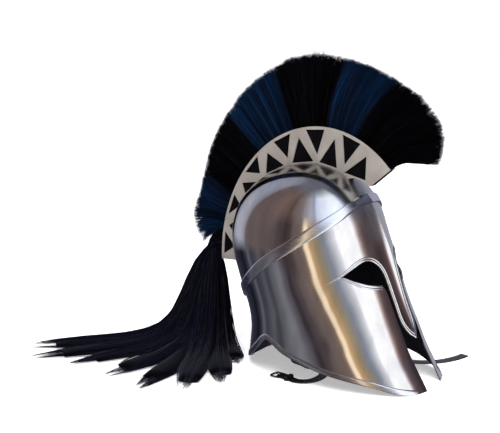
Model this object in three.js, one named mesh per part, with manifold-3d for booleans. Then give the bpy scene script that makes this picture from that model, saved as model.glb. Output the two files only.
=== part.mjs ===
import * as THREE from 'three';
import { mergeVertices } from 'three/addons/utils/BufferGeometryUtils.js';
import ManifoldModule from 'manifold-3d';

// Corinthian helmet with crest, resting on its cheek tips and neck guard.
// Millimetres, +Z up, the face looks along -Y, the floor is z = 0.
// The origin is the floor point under the neck guard's resting edge.
// Shapes are drawn in the worn pose (upright head) and tipped back at the end.

const manifoldKernel = await ManifoldModule();
manifoldKernel.setup();
const { Manifold } = manifoldKernel;

// Main sizes
const helmetHalfWidth = 97;
const helmetDepthHalf = 107;
const domeTop = 271;
const browLevel = 165;
const sheetThickness = 1.5;
const tipBack = THREE.MathUtils.degToRad(17);
const floorShiftY = -38;
const floorSink = 0.5;
const neckRestY = 92;
const gap = 0.4;

// Plan outline of the helmet at rising heights, as shares of the main sizes.
// height: share of domeTop; front, back: share of helmetDepthHalf;
// side: share of helmetHalfWidth; widest: how far behind the axis, share of helmetDepthHalf;
// round: 2 is an ellipse, more is squarer.
const wallSections = [
  { height: -0.229, front: 1.215, back: 1.400, side: 0.860, widest: -0.280, round: 2.5 },
  { height: -0.185, front: 1.206, back: 1.365, side: 0.875, widest: -0.234, round: 2.5 },
  { height: -0.074, front: 1.145, back: 1.310, side: 0.900, widest: -0.140, round: 2.5 },
  { height: 0.000, front: 1.105, back: 1.265, side: 0.915, widest: -0.094, round: 2.45 },
  { height: 0.100, front: 1.075, back: 1.180, side: 0.930, widest: -0.047, round: 2.4 },
  { height: 0.185, front: 1.045, back: 1.085, side: 0.932, widest: -0.019, round: 2.36 },
  { height: 0.277, front: 1.025, back: 0.985, side: 0.940, widest: 0.000, round: 2.3 },
  { height: 0.369, front: 1.014, back: 0.950, side: 0.959, widest: 0.000, round: 2.24 },
  { height: 0.480, front: 1.000, back: 0.965, side: 0.990, widest: 0.000, round: 2.18 },
  { height: 0.609, front: 0.980, back: 0.980, side: 1.000, widest: 0.000, round: 2.15 },
];
const domeRoundness = 2.25;

// Keel: the crease down the middle of the face, proud of the round surface
const keelHeight = 7;
const keelSpread = 9;
const keelFade = [
  { height: -0.22, share: 0.00 },
  { height: 0.00, share: 0.30 },
  { height: 0.22, share: 0.70 },
  { height: 0.48, share: 1.00 },
  { height: 0.63, share: 0.70 },
  { height: 0.74, share: 0.30 },
  { height: 0.80, share: 0.00 },
];

// Face opening seen from the front, one half from the top of the eye down
const eyeOuterX = 73;
const eyeOuterZ = 118;
const nasalHalfWidth = 17;
const nasalTipZ = 16;
const cheekGapHalf = 23.5;
const faceOutline = [
  { x: 0, z: nasalTipZ },
  { x: nasalHalfWidth * 0.55, z: nasalTipZ + 9 },
  { x: nasalHalfWidth * 0.93, z: nasalTipZ + 22 },
  { x: nasalHalfWidth, z: 66 },
  { x: nasalHalfWidth + 1.5, z: 92 },
  { x: nasalHalfWidth + 4.5, z: 111 },
  { x: nasalHalfWidth + 11, z: 122 },
  { x: nasalHalfWidth + 19, z: 128 },
  { x: nasalHalfWidth + 28, z: 129.5 },
  { x: nasalHalfWidth + 38, z: 127 },
  { x: nasalHalfWidth + 48, z: 122.5 },
  { x: eyeOuterX, z: eyeOuterZ },
  { x: eyeOuterX - 10, z: 109 },
  { x: eyeOuterX - 24, z: 99.5 },
  { x: eyeOuterX - 38, z: 94 },
  { x: cheekGapHalf + 5.5, z: 92 },
  { x: cheekGapHalf + 1.5, z: 84 },
  { x: cheekGapHalf, z: 62 },
  { x: cheekGapHalf, z: 15 },
  { x: cheekGapHalf - 2, z: -70 },
];

// Lower edge seen from the side, from the neck guard to the cheek tips
const neckEdgeZ = 27;
const lowerEdge = [
  { y: 200, z: neckEdgeZ },
  { y: 125, z: neckEdgeZ },
  { y: 114, z: neckEdgeZ + 4 },
  { y: 103, z: neckEdgeZ + 8 },
  { y: 93, z: neckEdgeZ + 12 },
  { y: 84, z: 43 },
  { y: 72, z: 48.5 },
  { y: 60, z: 55 },
  { y: 52, z: 57 },
  { y: 43, z: 50 },
  { y: 30, z: 37 },
  { y: 5, z: 20 },
  { y: -20, z: 5 },
  { y: -56, z: -12 },
  { y: -79, z: -23 },
  { y: -106, z: -40 },
  { y: -122, z: -49.5 },
  { y: -200, z: -60 },
];

// Facets of the round body
const ringCount = 40;
const wallLevels = 12;
const domeLevels = 8;

// Cutting prisms
const cutReach = 400;
const cornerLeast = 0.4;
const cornerMost = 2;
const faceCutY = -20;
const weldDistance = 1e-4;
const depthStep = 0.5;
const floorSize = 1600;

// Raised edges
const rimWidth = 5;
const rimRise = 1.3;
const rimSink = 0.8;
const rimZoneZ = 70;
const rimZoneSlope = 8;
const rimZoneHalf = nasalHalfWidth + rimWidth;
const borderWidth = 7;

// Brow band, a raised strip round the head that slopes down to the nape.
// place: share of helmetDepthHalf; height: share of domeTop
const bandHeights = [
  { place: -1.05, height: 0.766 },
  { place: -0.92, height: 0.749 },
  { place: -0.80, height: 0.713 },
  { place: -0.57, height: 0.675 },
  { place: -0.28, height: 0.636 },
  { place: 0.02, height: 0.599 },
  { place: 0.23, height: 0.570 },
  { place: 0.40, height: 0.539 },
  { place: 0.70, height: 0.480 },
  { place: 1.05, height: 0.411 },
];
const bandSteps = 12;
const bandWidth = 15;
const bandThickness = 2.4;

// Crest holder: the outer arc is an ellipse in the middle plane
const crestCentreY = -3;
const crestCentreZ = 135;
const crestShortRadius = 152;
const crestLongRadius = 185;
const crestLean = 21.2;
const crestBackAngle = -7.4;
const crestFrontAngle = 129.5;
const crestWidth = 16;
const plateThickness = 1.5;
const crestSteps = 36;
const coreDrop = 4;
const holderDepth = [
  { angle: -7.4, depth: 23 },
  { angle: 12, depth: 42 },
  { angle: 40, depth: 70 },
  { angle: 105, depth: 70 },
  { angle: 118, depth: 46 },
  { angle: 129.5, depth: 36 },
];

// Pierced triangles: arc angles of the base ends and of the point
const outerMargin = 3.4;
const innerMargin = 3;
const triangleReach = 0.8;
const innerTriangles = [
  { start: 110, end: 125, point: 116.6 },
  { start: 86.4, end: 103, point: 96.1 },
  { start: 63.5, end: 81.5, point: 73.4 },
  { start: 43.8, end: 57.2, point: 52.1 },
  { start: 25.6, end: 36, point: 30.6 },
  { start: 2, end: 15, point: 8.6 },
];
const outerTriangles = [
  { start: 99.9, end: 110.6, point: 107.5 },
  { start: 78.4, end: 89.4, point: 84.8 },
  { start: 58.2, end: 69, point: 61.8 },
  { start: 35.8, end: 46.6, point: 41.2 },
  { start: 13.4, end: 23.6, point: 20.4 },
  { start: -5, end: 5.4, point: -0.6 },
];

// Hair brush: length past the arc and direction by arc angle
const brushRows = [
  { angle: 6.3, length: 45, direction: -14 },
  { angle: 10, length: 56, direction: 20 },
  { angle: 15, length: 54, direction: 40 },
  { angle: 23.4, length: 58, direction: 51 },
  { angle: 35, length: 67, direction: 55 },
  { angle: 48.5, length: 75, direction: 62 },
  { angle: 60, length: 84, direction: 75 },
  { angle: 71.2, length: 91, direction: 87 },
  { angle: 80, length: 96, direction: 101 },
  { angle: 90, length: 94, direction: 123 },
  { angle: 98, length: 92, direction: 132 },
  { angle: 107, length: 92, direction: 143 },
  { angle: 115, length: 95, direction: 154 },
  { angle: 122, length: 90, direction: 172 },
  { angle: 129, length: 64, direction: 188 },
];
const brushBands = [
  { name: 'plume_nape_blue', from: 6.3, to: 23.4, colour: 'blue' },
  { name: 'plume_back_black', from: 23.4, to: 48.5, colour: 'black' },
  { name: 'plume_back_blue', from: 48.5, to: 71.2, colour: 'blue' },
  { name: 'plume_top_black', from: 71.2, to: 90, colour: 'black' },
  { name: 'plume_front_blue', from: 90, to: 107, colour: 'blue' },
  { name: 'plume_front_black', from: 107, to: 129, colour: 'black' },
];
// Half of the brush's cross section from the root up. spread: share of the widening from
// root to tip; across: share of that half width; ridge, groove: share of the hair length
const brushProfile = [
  { spread: 0.04, across: 1, ridge: 0.04, groove: 0.04 },
  { spread: 0.5, across: 1, ridge: 0.5, groove: 0.5 },
  { spread: 1, across: 1, ridge: 0.88, groove: 0.88 },
  { spread: 0.9, across: 0.55, ridge: 1, groove: 0.9 },
];
const brushMiddle = { ridge: 0.95, groove: 0.98 };
const grooveSwell = 0.86;
const brushRootHalf = 6;
const brushTipHalf = 15;
const brushRootSink = 3.5;
const lockDepth = 7;
const locksPerBand = 6;
const bandSeam = 0.16;

// Tail of hair, in resting coordinates: locks fall from the holder's end and spread on the floor
const tailRootY = 171;
const tailHeadAngles = [-7.2, 5.6];
const tailHeadReach = 28;
const tailHeadDirection = -26;
const tailHeadSteps = 6;
const tailEnds = [
  { x: -12, y: 142 },
  { x: -68, y: 84 },
  { x: -142, y: 60 },
  { x: -196, y: 84 },
  { x: -216, y: 140 },
  { x: -204, y: 206 },
  { x: -196, y: 276 },
  { x: -206, y: 338 },
  { x: -174, y: 384 },
  { x: -124, y: 326 },
  { x: -74, y: 280 },
  { x: -22, y: 234 },
];
// Along a lock: way: share of the plan distance; rise: height; wide, thick: half sizes
const lockStations = [
  { way: 0.000, rise: 138, wide: 5.5, thick: 11 },
  { way: 0.030, rise: 122, wide: 11, thick: 17 },
  { way: 0.070, rise: 97, wide: 15, thick: 20 },
  { way: 0.120, rise: 66, wide: 17, thick: 19 },
  { way: 0.185, rise: 36, wide: 20, thick: 15 },
  { way: 0.280, rise: 16, wide: 22, thick: 11 },
  { way: 0.450, rise: 6, wide: 24, thick: 8 },
  { way: 0.780, rise: 4, wide: 22, thick: 6 },
  { way: 1.000, rise: 2, wide: 9, thick: 3 },
];
const lockSides = 6;

// Chin strap halves, in resting coordinates, drawn for a rivet at routeRivetX and slid with it
const routeRivetX = 84.8;
const strapWidth = 12;
const strapThickness = 1.6;
const strapRightRoute = [
  [-87.4, -30, 92], [-87.2, -29.5, 82], [-85.6, -27, 68], [-80.5, -20, 52],
  [-71, -9, 36], [-58, 1, 21], [-45, 4.5, 9.5], [-34, 1, 3],
  [-27.5, -9, 1.2], [-28, -21, 1], [-36, -31, 1], [-48, -35.5, 1],
  [-62, -35.5, 1], [-76, -30.5, 1.2], [-84.5, -18, 1.8], [-82.5, -6, 2.1],
  [-80, 7.4, 2.1],
];
const strapLeftRoute = [
  [87.4, -30, 92], [86.6, -31, 80], [83.8, -35, 64], [79, -43, 46],
  [73, -54, 28], [67.5, -67, 13], [64.5, -81, 4.5], [64.2, -96, 1.6],
  [67, -110, 1], [73.5, -123.5, 1], [82, -135.5, 1], [92.5, -145.5, 1],
  [105, -153, 1], [119, -159, 1], [134, -163, 1],
];
const foldRoute = [
  [-82.6, -8, 4.0], [-81.4, 0, 4.0], [-80, 7.4, 4.0],
];
const buckleCentre = [-78.9, 15.4, 2.2];
const buckleTurn = -10;
const buckleLength = 14;
const buckleWidth = 18;
const buckleWire = 2.2;
const keeperCentre = [-82.4, -4.4, 3.35];
const keeperTurn = -8;
const keeperLength = 5;
const stepsPerPoint = 2;
const strapFlatHeight = 4;
const strapUprightHeight = 40;
const keeperWall = 1;
const frameOuterCorner = 1.3;
const frameInnerCorner = 0.3;
const rivetRadius = 4.5;
const rivetHeight = 1.4;
const rivetTopShare = 0.8;
const rivetWallShare = 0.9;
const rivetGap = 0.3;
const rivetPlace = {
  x: helmetHalfWidth * rivetWallShare - sheetThickness - rivetGap - rivetHeight / 2,
  y: -30,
  z: 86,
};
const rivetSides = 20;
const cornerSteps = 4;

// Finishes
const finishes = {
  mirror: { color: 0xb9bdc4, metalness: 1, roughness: 0.12 },
  satin: { color: 0xbeb9b2, metalness: 1, roughness: 0.3 },
  core: { color: 0x1b181b, metalness: 0, roughness: 0.6 },
  black: { color: 0x05050a, metalness: 0, roughness: 0.8 },
  blue: { color: 0x06264a, metalness: 0, roughness: 0.8 },
  leather: { color: 0x111113, metalness: 0, roughness: 0.45 },
  buckle: { color: 0x24262a, metalness: 1, roughness: 0.45 },
};

// Helpers for numbers
function smoothTable(rows, key, value, at) {
  const count = rows.length;
  if (at <= rows[0][key]) {
    return rows[0][value];
  }
  if (at >= rows[count - 1][key]) {
    return rows[count - 1][value];
  }
  let i = 0;
  while (rows[i + 1][key] < at) {
    i += 1;
  }
  const slopeAt = (k) => {
    const before = Math.max(k - 1, 0);
    const after = Math.min(k + 1, count - 1);
    return (rows[after][value] - rows[before][value]) / (rows[after][key] - rows[before][key]);
  };
  const span = rows[i + 1][key] - rows[i][key];
  const t = (at - rows[i][key]) / span;
  const t2 = t * t;
  const t3 = t2 * t;
  return (2 * t3 - 3 * t2 + 1) * rows[i][value]
    + (t3 - 2 * t2 + t) * span * slopeAt(i)
    + (3 * t2 - 2 * t3) * rows[i + 1][value]
    + (t3 - t2) * span * slopeAt(i + 1);
}

function signedPower(value, power) {
  return Math.sign(value) * Math.abs(value) ** power;
}

// Helmet surface in the worn pose; offset moves it out (+) or in (-)
function wallRing(z, offset, count) {
  const level = Math.min(z, browLevel) / domeTop;
  const top = domeTop + offset;
  const rise = Math.max((z - browLevel) / (top - browLevel), 0);
  const shrink = Math.max(1 - rise ** domeRoundness, 0) ** (1 / domeRoundness);
  const front = (smoothTable(wallSections, 'height', 'front', level) * helmetDepthHalf + offset) * shrink;
  const back = (smoothTable(wallSections, 'height', 'back', level) * helmetDepthHalf + offset) * shrink;
  const side = (smoothTable(wallSections, 'height', 'side', level) * helmetHalfWidth + offset) * shrink;
  const widest = smoothTable(wallSections, 'height', 'widest', level) * helmetDepthHalf * shrink;
  const keel = keelHeight * smoothTable(keelFade, 'height', 'share', z / domeTop);
  const power = 2 / smoothTable(wallSections, 'height', 'round', level);
  const ring = [];
  for (let i = 0; i < count; i += 1) {
    const angle = (2 * Math.PI * i) / count;
    const across = signedPower(Math.sin(angle), power);
    const along = signedPower(Math.cos(angle), power);
    const x = side * across;
    const reach = along > 0 ? front + widest : back - widest;
    const crease = along > 0 ? keel * Math.exp(-Math.abs(x) / keelSpread) : 0;
    ring.push(new THREE.Vector3(x, widest - reach * along - crease, z));
  }
  return ring;
}

// Geometry of one closed surface as a solid that can be joined and cut
function toSolid(geometry) {
  const bare = geometry.clone();
  bare.deleteAttribute('normal');
  bare.deleteAttribute('uv');
  const merged = mergeVertices(bare, weldDistance);
  return new Manifold(new manifoldKernel.Mesh({
    numProp: 3,
    vertProperties: new Float32Array(merged.attributes.position.array),
    triVerts: new Uint32Array(merged.index.array),
  }));
}

// Closed solid through rings of equal count, closed by a fan at each end
function loft(rings, apex) {
  const count = rings[0].length;
  const last = rings.length - 1;
  const centreOf = (ring) => ring
    .reduce((sum, point) => sum.add(point), new THREE.Vector3())
    .divideScalar(ring.length);
  const points = [...rings.flat(), centreOf(rings[0]), apex ?? centreOf(rings[last])];
  const triangles = [];
  for (let i = 0; i < count; i += 1) {
    const next = (i + 1) % count;
    for (let r = 0; r < last; r += 1) {
      const a = r * count + i;
      const b = r * count + next;
      triangles.push(a, b, b + count, a, b + count, a + count);
    }
    triangles.push(next, i, points.length - 2);
    triangles.push(last * count + i, last * count + next, points.length - 1);
  }
  const geometry = new THREE.BufferGeometry().setFromPoints(points);
  geometry.setIndex(triangles);
  const solid = toSolid(geometry);
  return solid.volume() > 0 ? solid : loft([...rings].reverse(), apex && centreOf(rings[0]));
}

// Prism of an outline; toSpace turns the drawn (x, y, depth) into the object's axes
function prism(points, depth, holes, toSpace) {
  const shape = new THREE.Shape(points.map(([x, y]) => new THREE.Vector2(x, y)));
  for (const hole of holes) {
    shape.holes.push(new THREE.Path(hole.map(([x, y]) => new THREE.Vector2(x, y))));
  }
  const geometry = new THREE.ExtrudeGeometry(shape, { depth, bevelEnabled: false, steps: 1 });
  geometry.applyMatrix4(toSpace);
  return toSolid(geometry);
}

// Outline drawn from the front as (x, z), running from nearY back to farY
function frontPrism(points, nearY, farY) {
  const toSpace = new THREE.Matrix4().makeTranslation(0, farY, 0)
    .multiply(new THREE.Matrix4().makeRotationX(Math.PI / 2));
  return prism(points, farY - nearY, [], toSpace);
}

// Outline drawn from the side as (y, z), running from fromX to toX
function sidePrism(points, fromX, toX) {
  const turn = new THREE.Matrix4().makeBasis(
    new THREE.Vector3(0, 1, 0),
    new THREE.Vector3(0, 0, 1),
    new THREE.Vector3(1, 0, 0),
  );
  return prism(points, toX - fromX, [], new THREE.Matrix4().makeTranslation(fromX, 0, 0).multiply(turn));
}

// Closed outline moved outwards by a distance, point by point
function outset(points, distance) {
  const area = THREE.ShapeUtils.area(points.map(([x, y]) => new THREE.Vector2(x, y)));
  const side = Math.sign(area) * distance;
  return points.map(([x, y], i) => {
    const [beforeX, beforeY] = points[(i + points.length - 1) % points.length];
    const [afterX, afterY] = points[(i + 1) % points.length];
    const normalIn = new THREE.Vector2(y - beforeY, beforeX - x).normalize();
    const normalOut = new THREE.Vector2(afterY - y, x - afterX).normalize();
    const normal = normalIn.clone().add(normalOut).normalize();
    const stretch = Math.min(1 / Math.max(normal.dot(normalIn), cornerLeast), cornerMost);
    return [x + normal.x * side * stretch, y + normal.y * side * stretch];
  });
}

function helmetBody(offset) {
  const rings = [];
  const bottom = wallSections[0].height * domeTop;
  for (let i = 0; i < wallLevels; i += 1) {
    rings.push(wallRing(bottom + ((browLevel - bottom) * i) / wallLevels, offset, ringCount));
  }
  for (let i = 0; i < domeLevels; i += 1) {
    const turn = (Math.PI / 2) * (i / domeLevels);
    const z = browLevel + (domeTop + offset - browLevel) * Math.sin(turn) ** (2 / domeRoundness);
    rings.push(wallRing(z, offset, ringCount));
  }
  return loft(rings, new THREE.Vector3(0, 0, domeTop + offset));
}

// Resting pose: the worn pose slid to the floor line and tipped back
const restPose = new THREE.Matrix4().makeTranslation(0, 0, -floorSink)
  .multiply(new THREE.Matrix4().makeRotationX(-tipBack))
  .multiply(new THREE.Matrix4().makeTranslation(0, floorShiftY, 0));

function floorBlock() {
  const block = new THREE.BoxGeometry(floorSize, floorSize, cutReach);
  block.translate(0, 0, -cutReach / 2);
  return block;
}

// Helmet shell: round body with raised rims, hollowed, trimmed below and opened for the face
const faceHalf = faceOutline.map((point) => [point.x, point.z]);
const faceOpening = [...faceHalf.slice(1).reverse().map(([x, z]) => [-x, z]), ...faceHalf];
const belowEdge = [
  ...lowerEdge.map((point) => [point.y, point.z]),
  [-cutReach, -cutReach],
  [cutReach, -cutReach],
];
const rimZone = [
  [-cutReach, rimZoneZ], [-rimZoneHalf, rimZoneZ - rimZoneSlope], [-rimZoneHalf, 0],
  [rimZoneHalf, 0], [rimZoneHalf, rimZoneZ - rimZoneSlope], [cutReach, rimZoneZ],
  [cutReach, browLevel], [-cutReach, browLevel],
];
const bottomCut = sidePrism(belowEdge, -cutReach, cutReach);
const faceCut = frontPrism(faceOpening, -cutReach, faceCutY);
const raisedLayer = helmetBody(rimRise).subtract(helmetBody(-rimSink));
const rimSolid = raisedLayer
  .intersect(frontPrism(outset(faceOpening, rimWidth), -cutReach, faceCutY))
  .intersect(frontPrism(rimZone, -cutReach, faceCutY));
const borderSolid = raisedLayer.intersect(sidePrism(outset(belowEdge, borderWidth), -cutReach, cutReach));
const floorInWornPose = toSolid(floorBlock().applyMatrix4(restPose.clone().invert()));
const shellSolid = helmetBody(0).add(rimSolid).add(borderSolid)
  .subtract(helmetBody(-sheetThickness)).subtract(bottomCut).subtract(faceCut)
  .subtract(floorInWornPose);

// Brow band
function bandPrism(width) {
  const edge = (side) => Array.from({ length: bandSteps + 1 }, (unused, i) => {
    const place = THREE.MathUtils.lerp(bandHeights[0].place, bandHeights.at(-1).place, i / bandSteps);
    const height = smoothTable(bandHeights, 'place', 'height', place) * domeTop;
    return [place * helmetDepthHalf, height + (side * width) / 2];
  });
  const ends = (points) => [
    [-cutReach, points[0][1]], ...points, [cutReach, points[bandSteps][1]],
  ];
  return sidePrism([...ends(edge(-1)), ...ends(edge(1)).reverse()], -cutReach, cutReach);
}

const bandSolid = helmetBody(gap + bandThickness).subtract(helmetBody(gap)).intersect(bandPrism(bandWidth));

// Crest arc in the middle plane (y, z); inward moves along the arc's normal
const lean = THREE.MathUtils.degToRad(crestLean);

function arcPoint(angle, inward) {
  const turn = THREE.MathUtils.degToRad(angle);
  const nu = crestLongRadius * Math.cos(turn);
  const nv = crestShortRadius * Math.sin(turn);
  const size = Math.hypot(nu, nv);
  const a = crestShortRadius * Math.cos(turn) - (inward * nu) / size;
  const b = crestLongRadius * Math.sin(turn) - (inward * nv) / size;
  return [
    crestCentreY + a * Math.cos(lean) - b * Math.sin(lean),
    crestCentreZ + a * Math.sin(lean) + b * Math.cos(lean),
  ];
}

// Space kept clear for the helmet and its band
const clearBody = helmetBody(gap)
  .add(helmetBody(bandThickness + 2 * gap).intersect(bandPrism(bandWidth + 2 * gap)));

// Outline of the holder, whose lower side reaches into the helmet where it sits on it
function holderOutline(drop) {
  const angleAt = (i) => crestBackAngle + ((crestFrontAngle - crestBackAngle) * i) / crestSteps;
  const top = [];
  const bottom = [];
  for (let i = 0; i <= crestSteps; i += 1) {
    const angle = angleAt(i);
    top.push(arcPoint(angle, drop));
    bottom.push(arcPoint(angle, smoothTable(holderDepth, 'angle', 'depth', angle)));
  }
  return [...top, ...bottom.reverse()];
}

// Depth of the plate at an arc angle, down to the helmet or to the holder's own edge
function plateDepth(angle) {
  const limit = smoothTable(holderDepth, 'angle', 'depth', angle);
  for (let depth = 0; depth < limit; depth += depthStep) {
    const [y, z] = arcPoint(angle, depth);
    const [front, , back] = wallRing(Math.min(z, domeTop), 0, 4);
    if (y > front.y && y < back.y) {
      return depth;
    }
  }
  return limit;
}

function triangleOutline(row, onOuterEdge) {
  const insetAt = (angle, share) => {
    const inner = plateDepth(angle) - innerMargin;
    return outerMargin + (inner - outerMargin) * share;
  };
  const baseShare = onOuterEdge ? 0 : 1;
  const pointShare = onOuterEdge ? triangleReach : 1 - triangleReach;
  return [
    arcPoint(row.start, insetAt(row.start, baseShare)),
    arcPoint(row.end, insetAt(row.end, baseShare)),
    arcPoint(row.point, insetAt(row.point, pointShare)),
  ];
}

const triangleCuts = Manifold.union([
  ...innerTriangles.map((row) => triangleOutline(row, false)),
  ...outerTriangles.map((row) => triangleOutline(row, true)),
].map((outline) => sidePrism(outline, -cutReach, cutReach)));
const plateOuterX = crestWidth / 2;
const plateInnerX = plateOuterX - plateThickness;
const coreHalf = plateInnerX - gap;
const plateOutline = holderOutline(0);
const plateSolid = (fromX, toX) => sidePrism(plateOutline, fromX, toX)
  .subtract(clearBody).subtract(triangleCuts);
const plateRightSolid = plateSolid(-plateOuterX, -plateInnerX);
const plateLeftSolid = plateSolid(plateInnerX, plateOuterX);
const coreSolid = sidePrism(holderOutline(coreDrop), -coreHalf, coreHalf).subtract(clearBody);

// Hair brush bands: sections across the brush, locks made by ridges that end in points
function brushSection(angle, ridge) {
  const length = smoothTable(brushRows, 'angle', 'length', angle) - (ridge ? 0 : lockDepth);
  const turn = THREE.MathUtils.degToRad(smoothTable(brushRows, 'angle', 'direction', angle));
  const [rootY, rootZ] = arcPoint(angle, brushRootSink);
  const [edgeY, edgeZ] = arcPoint(angle, 0);
  const key = ridge ? 'ridge' : 'groove';
  const widening = brushTipHalf * (ridge ? 1 : grooveSwell) - brushRootHalf;
  const at = (x, share) => new THREE.Vector3(
    x,
    edgeY + Math.cos(turn) * length * share,
    edgeZ + Math.sin(turn) * length * share,
  );
  const side = (sign) => brushProfile
    .map((row) => at(sign * (brushRootHalf + widening * row.spread) * row.across, row[key]));
  return [
    new THREE.Vector3(-brushRootHalf, rootY, rootZ),
    new THREE.Vector3(brushRootHalf, rootY, rootZ),
    ...side(1),
    at(0, brushMiddle[key]),
    ...side(-1).reverse(),
  ];
}

function brushSolid(band) {
  const rings = [];
  const steps = locksPerBand * 2;
  const sweep = band.to - band.from - 2 * bandSeam;
  for (let i = 0; i <= steps; i += 1) {
    rings.push(brushSection(band.from + bandSeam + (sweep * i) / steps, i % 2 === 1));
  }
  return loft(rings);
}

// Tail locks in the resting pose
function tailLock(end) {
  const start = new THREE.Vector2(0, tailRootY);
  const finish = new THREE.Vector2(end.x, end.y);
  const across = finish.clone().sub(start).normalize();
  const side = new THREE.Vector3(-across.y, across.x, 0);
  const centres = lockStations.map((station) => {
    const plan = start.clone().lerp(finish, station.way);
    return new THREE.Vector3(plan.x, plan.y, station.rise);
  });
  const rings = lockStations.map((station, i) => {
    const before = centres[Math.max(i - 1, 0)];
    const after = centres[Math.min(i + 1, centres.length - 1)];
    const forward = after.clone().sub(before).normalize();
    const up = new THREE.Vector3().crossVectors(side, forward).normalize();
    return Array.from({ length: lockSides }, (unused, k) => {
      const turn = (2 * Math.PI * k) / lockSides;
      return centres[i].clone()
        .addScaledVector(side, station.wide * Math.cos(turn))
        .addScaledVector(up, station.thick * Math.sin(turn));
    });
  });
  return loft(rings);
}

function tailHead() {
  const [fromAngle, toAngle] = tailHeadAngles;
  const turn = THREE.MathUtils.degToRad(tailHeadDirection);
  const outward = ([y, z]) => [y + tailHeadReach * Math.cos(turn), z + tailHeadReach * Math.sin(turn)];
  const root = Array.from({ length: tailHeadSteps + 1 }, (unused, i) => {
    const angle = fromAngle + ((toAngle - fromAngle) * i) / tailHeadSteps;
    return arcPoint(angle, brushRootSink);
  });
  const outline = [...root, outward(arcPoint(toAngle, 0)), outward(arcPoint(fromAngle, 0))];
  return sidePrism(outline, -brushRootHalf, brushRootHalf).transform(restPose.toArray());
}

// Head and locks in one solid, flat where it lies on the floor, closed where locks close up
function tailSolid() {
  const joined = Manifold.union([tailHead(), ...tailEnds.map(tailLock)]).subtract(toSolid(floorBlock()));
  return Manifold.union(joined.decompose().filter((piece) => piece.volume() > 0));
}

// Point of a strap, slid sideways with its rivet
function withRivet([x, y, z]) {
  return [x + Math.sign(x) * (rivetPlace.x - routeRivetX), y, z];
}

// Straps: flat strip along a route of points
function stripSolid(route, width, thickness, facing) {
  const points = route.map((point) => new THREE.Vector3(...withRivet(point)));
  const curve = new THREE.CatmullRomCurve3(points, false, 'centripetal');
  const steps = route.length * stepsPerPoint;
  const rings = [];
  for (let i = 0; i <= steps; i += 1) {
    const t = i / steps;
    const middle = curve.getPoint(t);
    const forward = curve.getTangent(t);
    const side = facing(middle, forward);
    const up = new THREE.Vector3().crossVectors(forward, side).normalize();
    const corner = (a, b) => middle.clone()
      .addScaledVector(side, (a * width) / 2).addScaledVector(up, (b * thickness) / 2);
    rings.push([corner(-1, -1), corner(1, -1), corner(1, 1), corner(-1, 1)]);
  }
  return loft(rings);
}

function stripFacing(middle, forward) {
  const upright = new THREE.Vector3(0, 1, 0);
  const flat = new THREE.Vector3(-forward.y, forward.x, 0).normalize();
  const share = THREE.MathUtils.smoothstep(middle.z, strapFlatHeight, strapUprightHeight);
  const side = flat.multiplyScalar(1 - share)
    .addScaledVector(upright, share * Math.sign(flat.y || 1));
  return side.addScaledVector(forward, -side.dot(forward)).normalize();
}

// Rounded rectangle as points, and a frame made of two of them
function roundedRectangle(width, height, corner) {
  const points = [];
  const quarters = [[1, 1, 0], [-1, 1, 1], [-1, -1, 2], [1, -1, 3]];
  for (const [signX, signY, quarter] of quarters) {
    for (let i = 0; i <= cornerSteps; i += 1) {
      const turn = (Math.PI / 2) * (quarter + i / cornerSteps);
      points.push([
        signX * (width / 2 - corner) + corner * Math.cos(turn),
        signY * (height / 2 - corner) + corner * Math.sin(turn),
      ]);
    }
  }
  return points;
}

function frameSolid(width, height, wall, depth, toSpace) {
  const outside = roundedRectangle(width, height, wall * frameOuterCorner);
  const inside = roundedRectangle(width - 2 * wall, height - 2 * wall, wall * frameInnerCorner);
  const centred = toSpace.clone().multiply(new THREE.Matrix4().makeTranslation(0, 0, -depth / 2));
  return prism(outside, depth, [inside], centred);
}

function placed(centre, turnDegrees, tiltX) {
  return new THREE.Matrix4().makeTranslation(...centre)
    .multiply(new THREE.Matrix4().makeRotationZ(THREE.MathUtils.degToRad(turnDegrees)))
    .multiply(new THREE.Matrix4().makeRotationX(tiltX));
}

const buckleSolid = frameSolid(
  buckleWidth,
  buckleLength,
  buckleWire,
  buckleWire,
  placed(withRivet(buckleCentre), buckleTurn, 0),
);
const keeperSolid = frameSolid(
  strapWidth + 2 * (gap + keeperWall),
  2 * strapThickness + 3 * gap + 2 * keeperWall,
  keeperWall,
  keeperLength,
  placed(withRivet(keeperCentre), keeperTurn, Math.PI / 2),
);

function rivetSolid(side) {
  const topRadius = rivetRadius * rivetTopShare;
  const geometry = new THREE.CylinderGeometry(topRadius, rivetRadius, rivetHeight, rivetSides);
  geometry.rotateZ((side * Math.PI) / 2);
  geometry.translate(side * rivetPlace.x, rivetPlace.y, rivetPlace.z);
  return toSolid(geometry);
}

function toMesh(name, solid, finish) {
  const data = solid.getMesh();
  const geometry = new THREE.BufferGeometry();
  const positions = new Float32Array(data.numVert * 3);
  for (let i = 0; i < data.numVert; i += 1) {
    for (let k = 0; k < 3; k += 1) {
      positions[i * 3 + k] = data.vertProperties[i * data.numProp + k];
    }
  }
  geometry.setAttribute('position', new THREE.BufferAttribute(positions, 3));
  geometry.setIndex(new THREE.BufferAttribute(new Uint32Array(data.triVerts), 1));
  geometry.computeVertexNormals();
  const mesh = new THREE.Mesh(geometry, new THREE.MeshStandardMaterial(finishes[finish]));
  mesh.name = name;
  return mesh;
}

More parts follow.
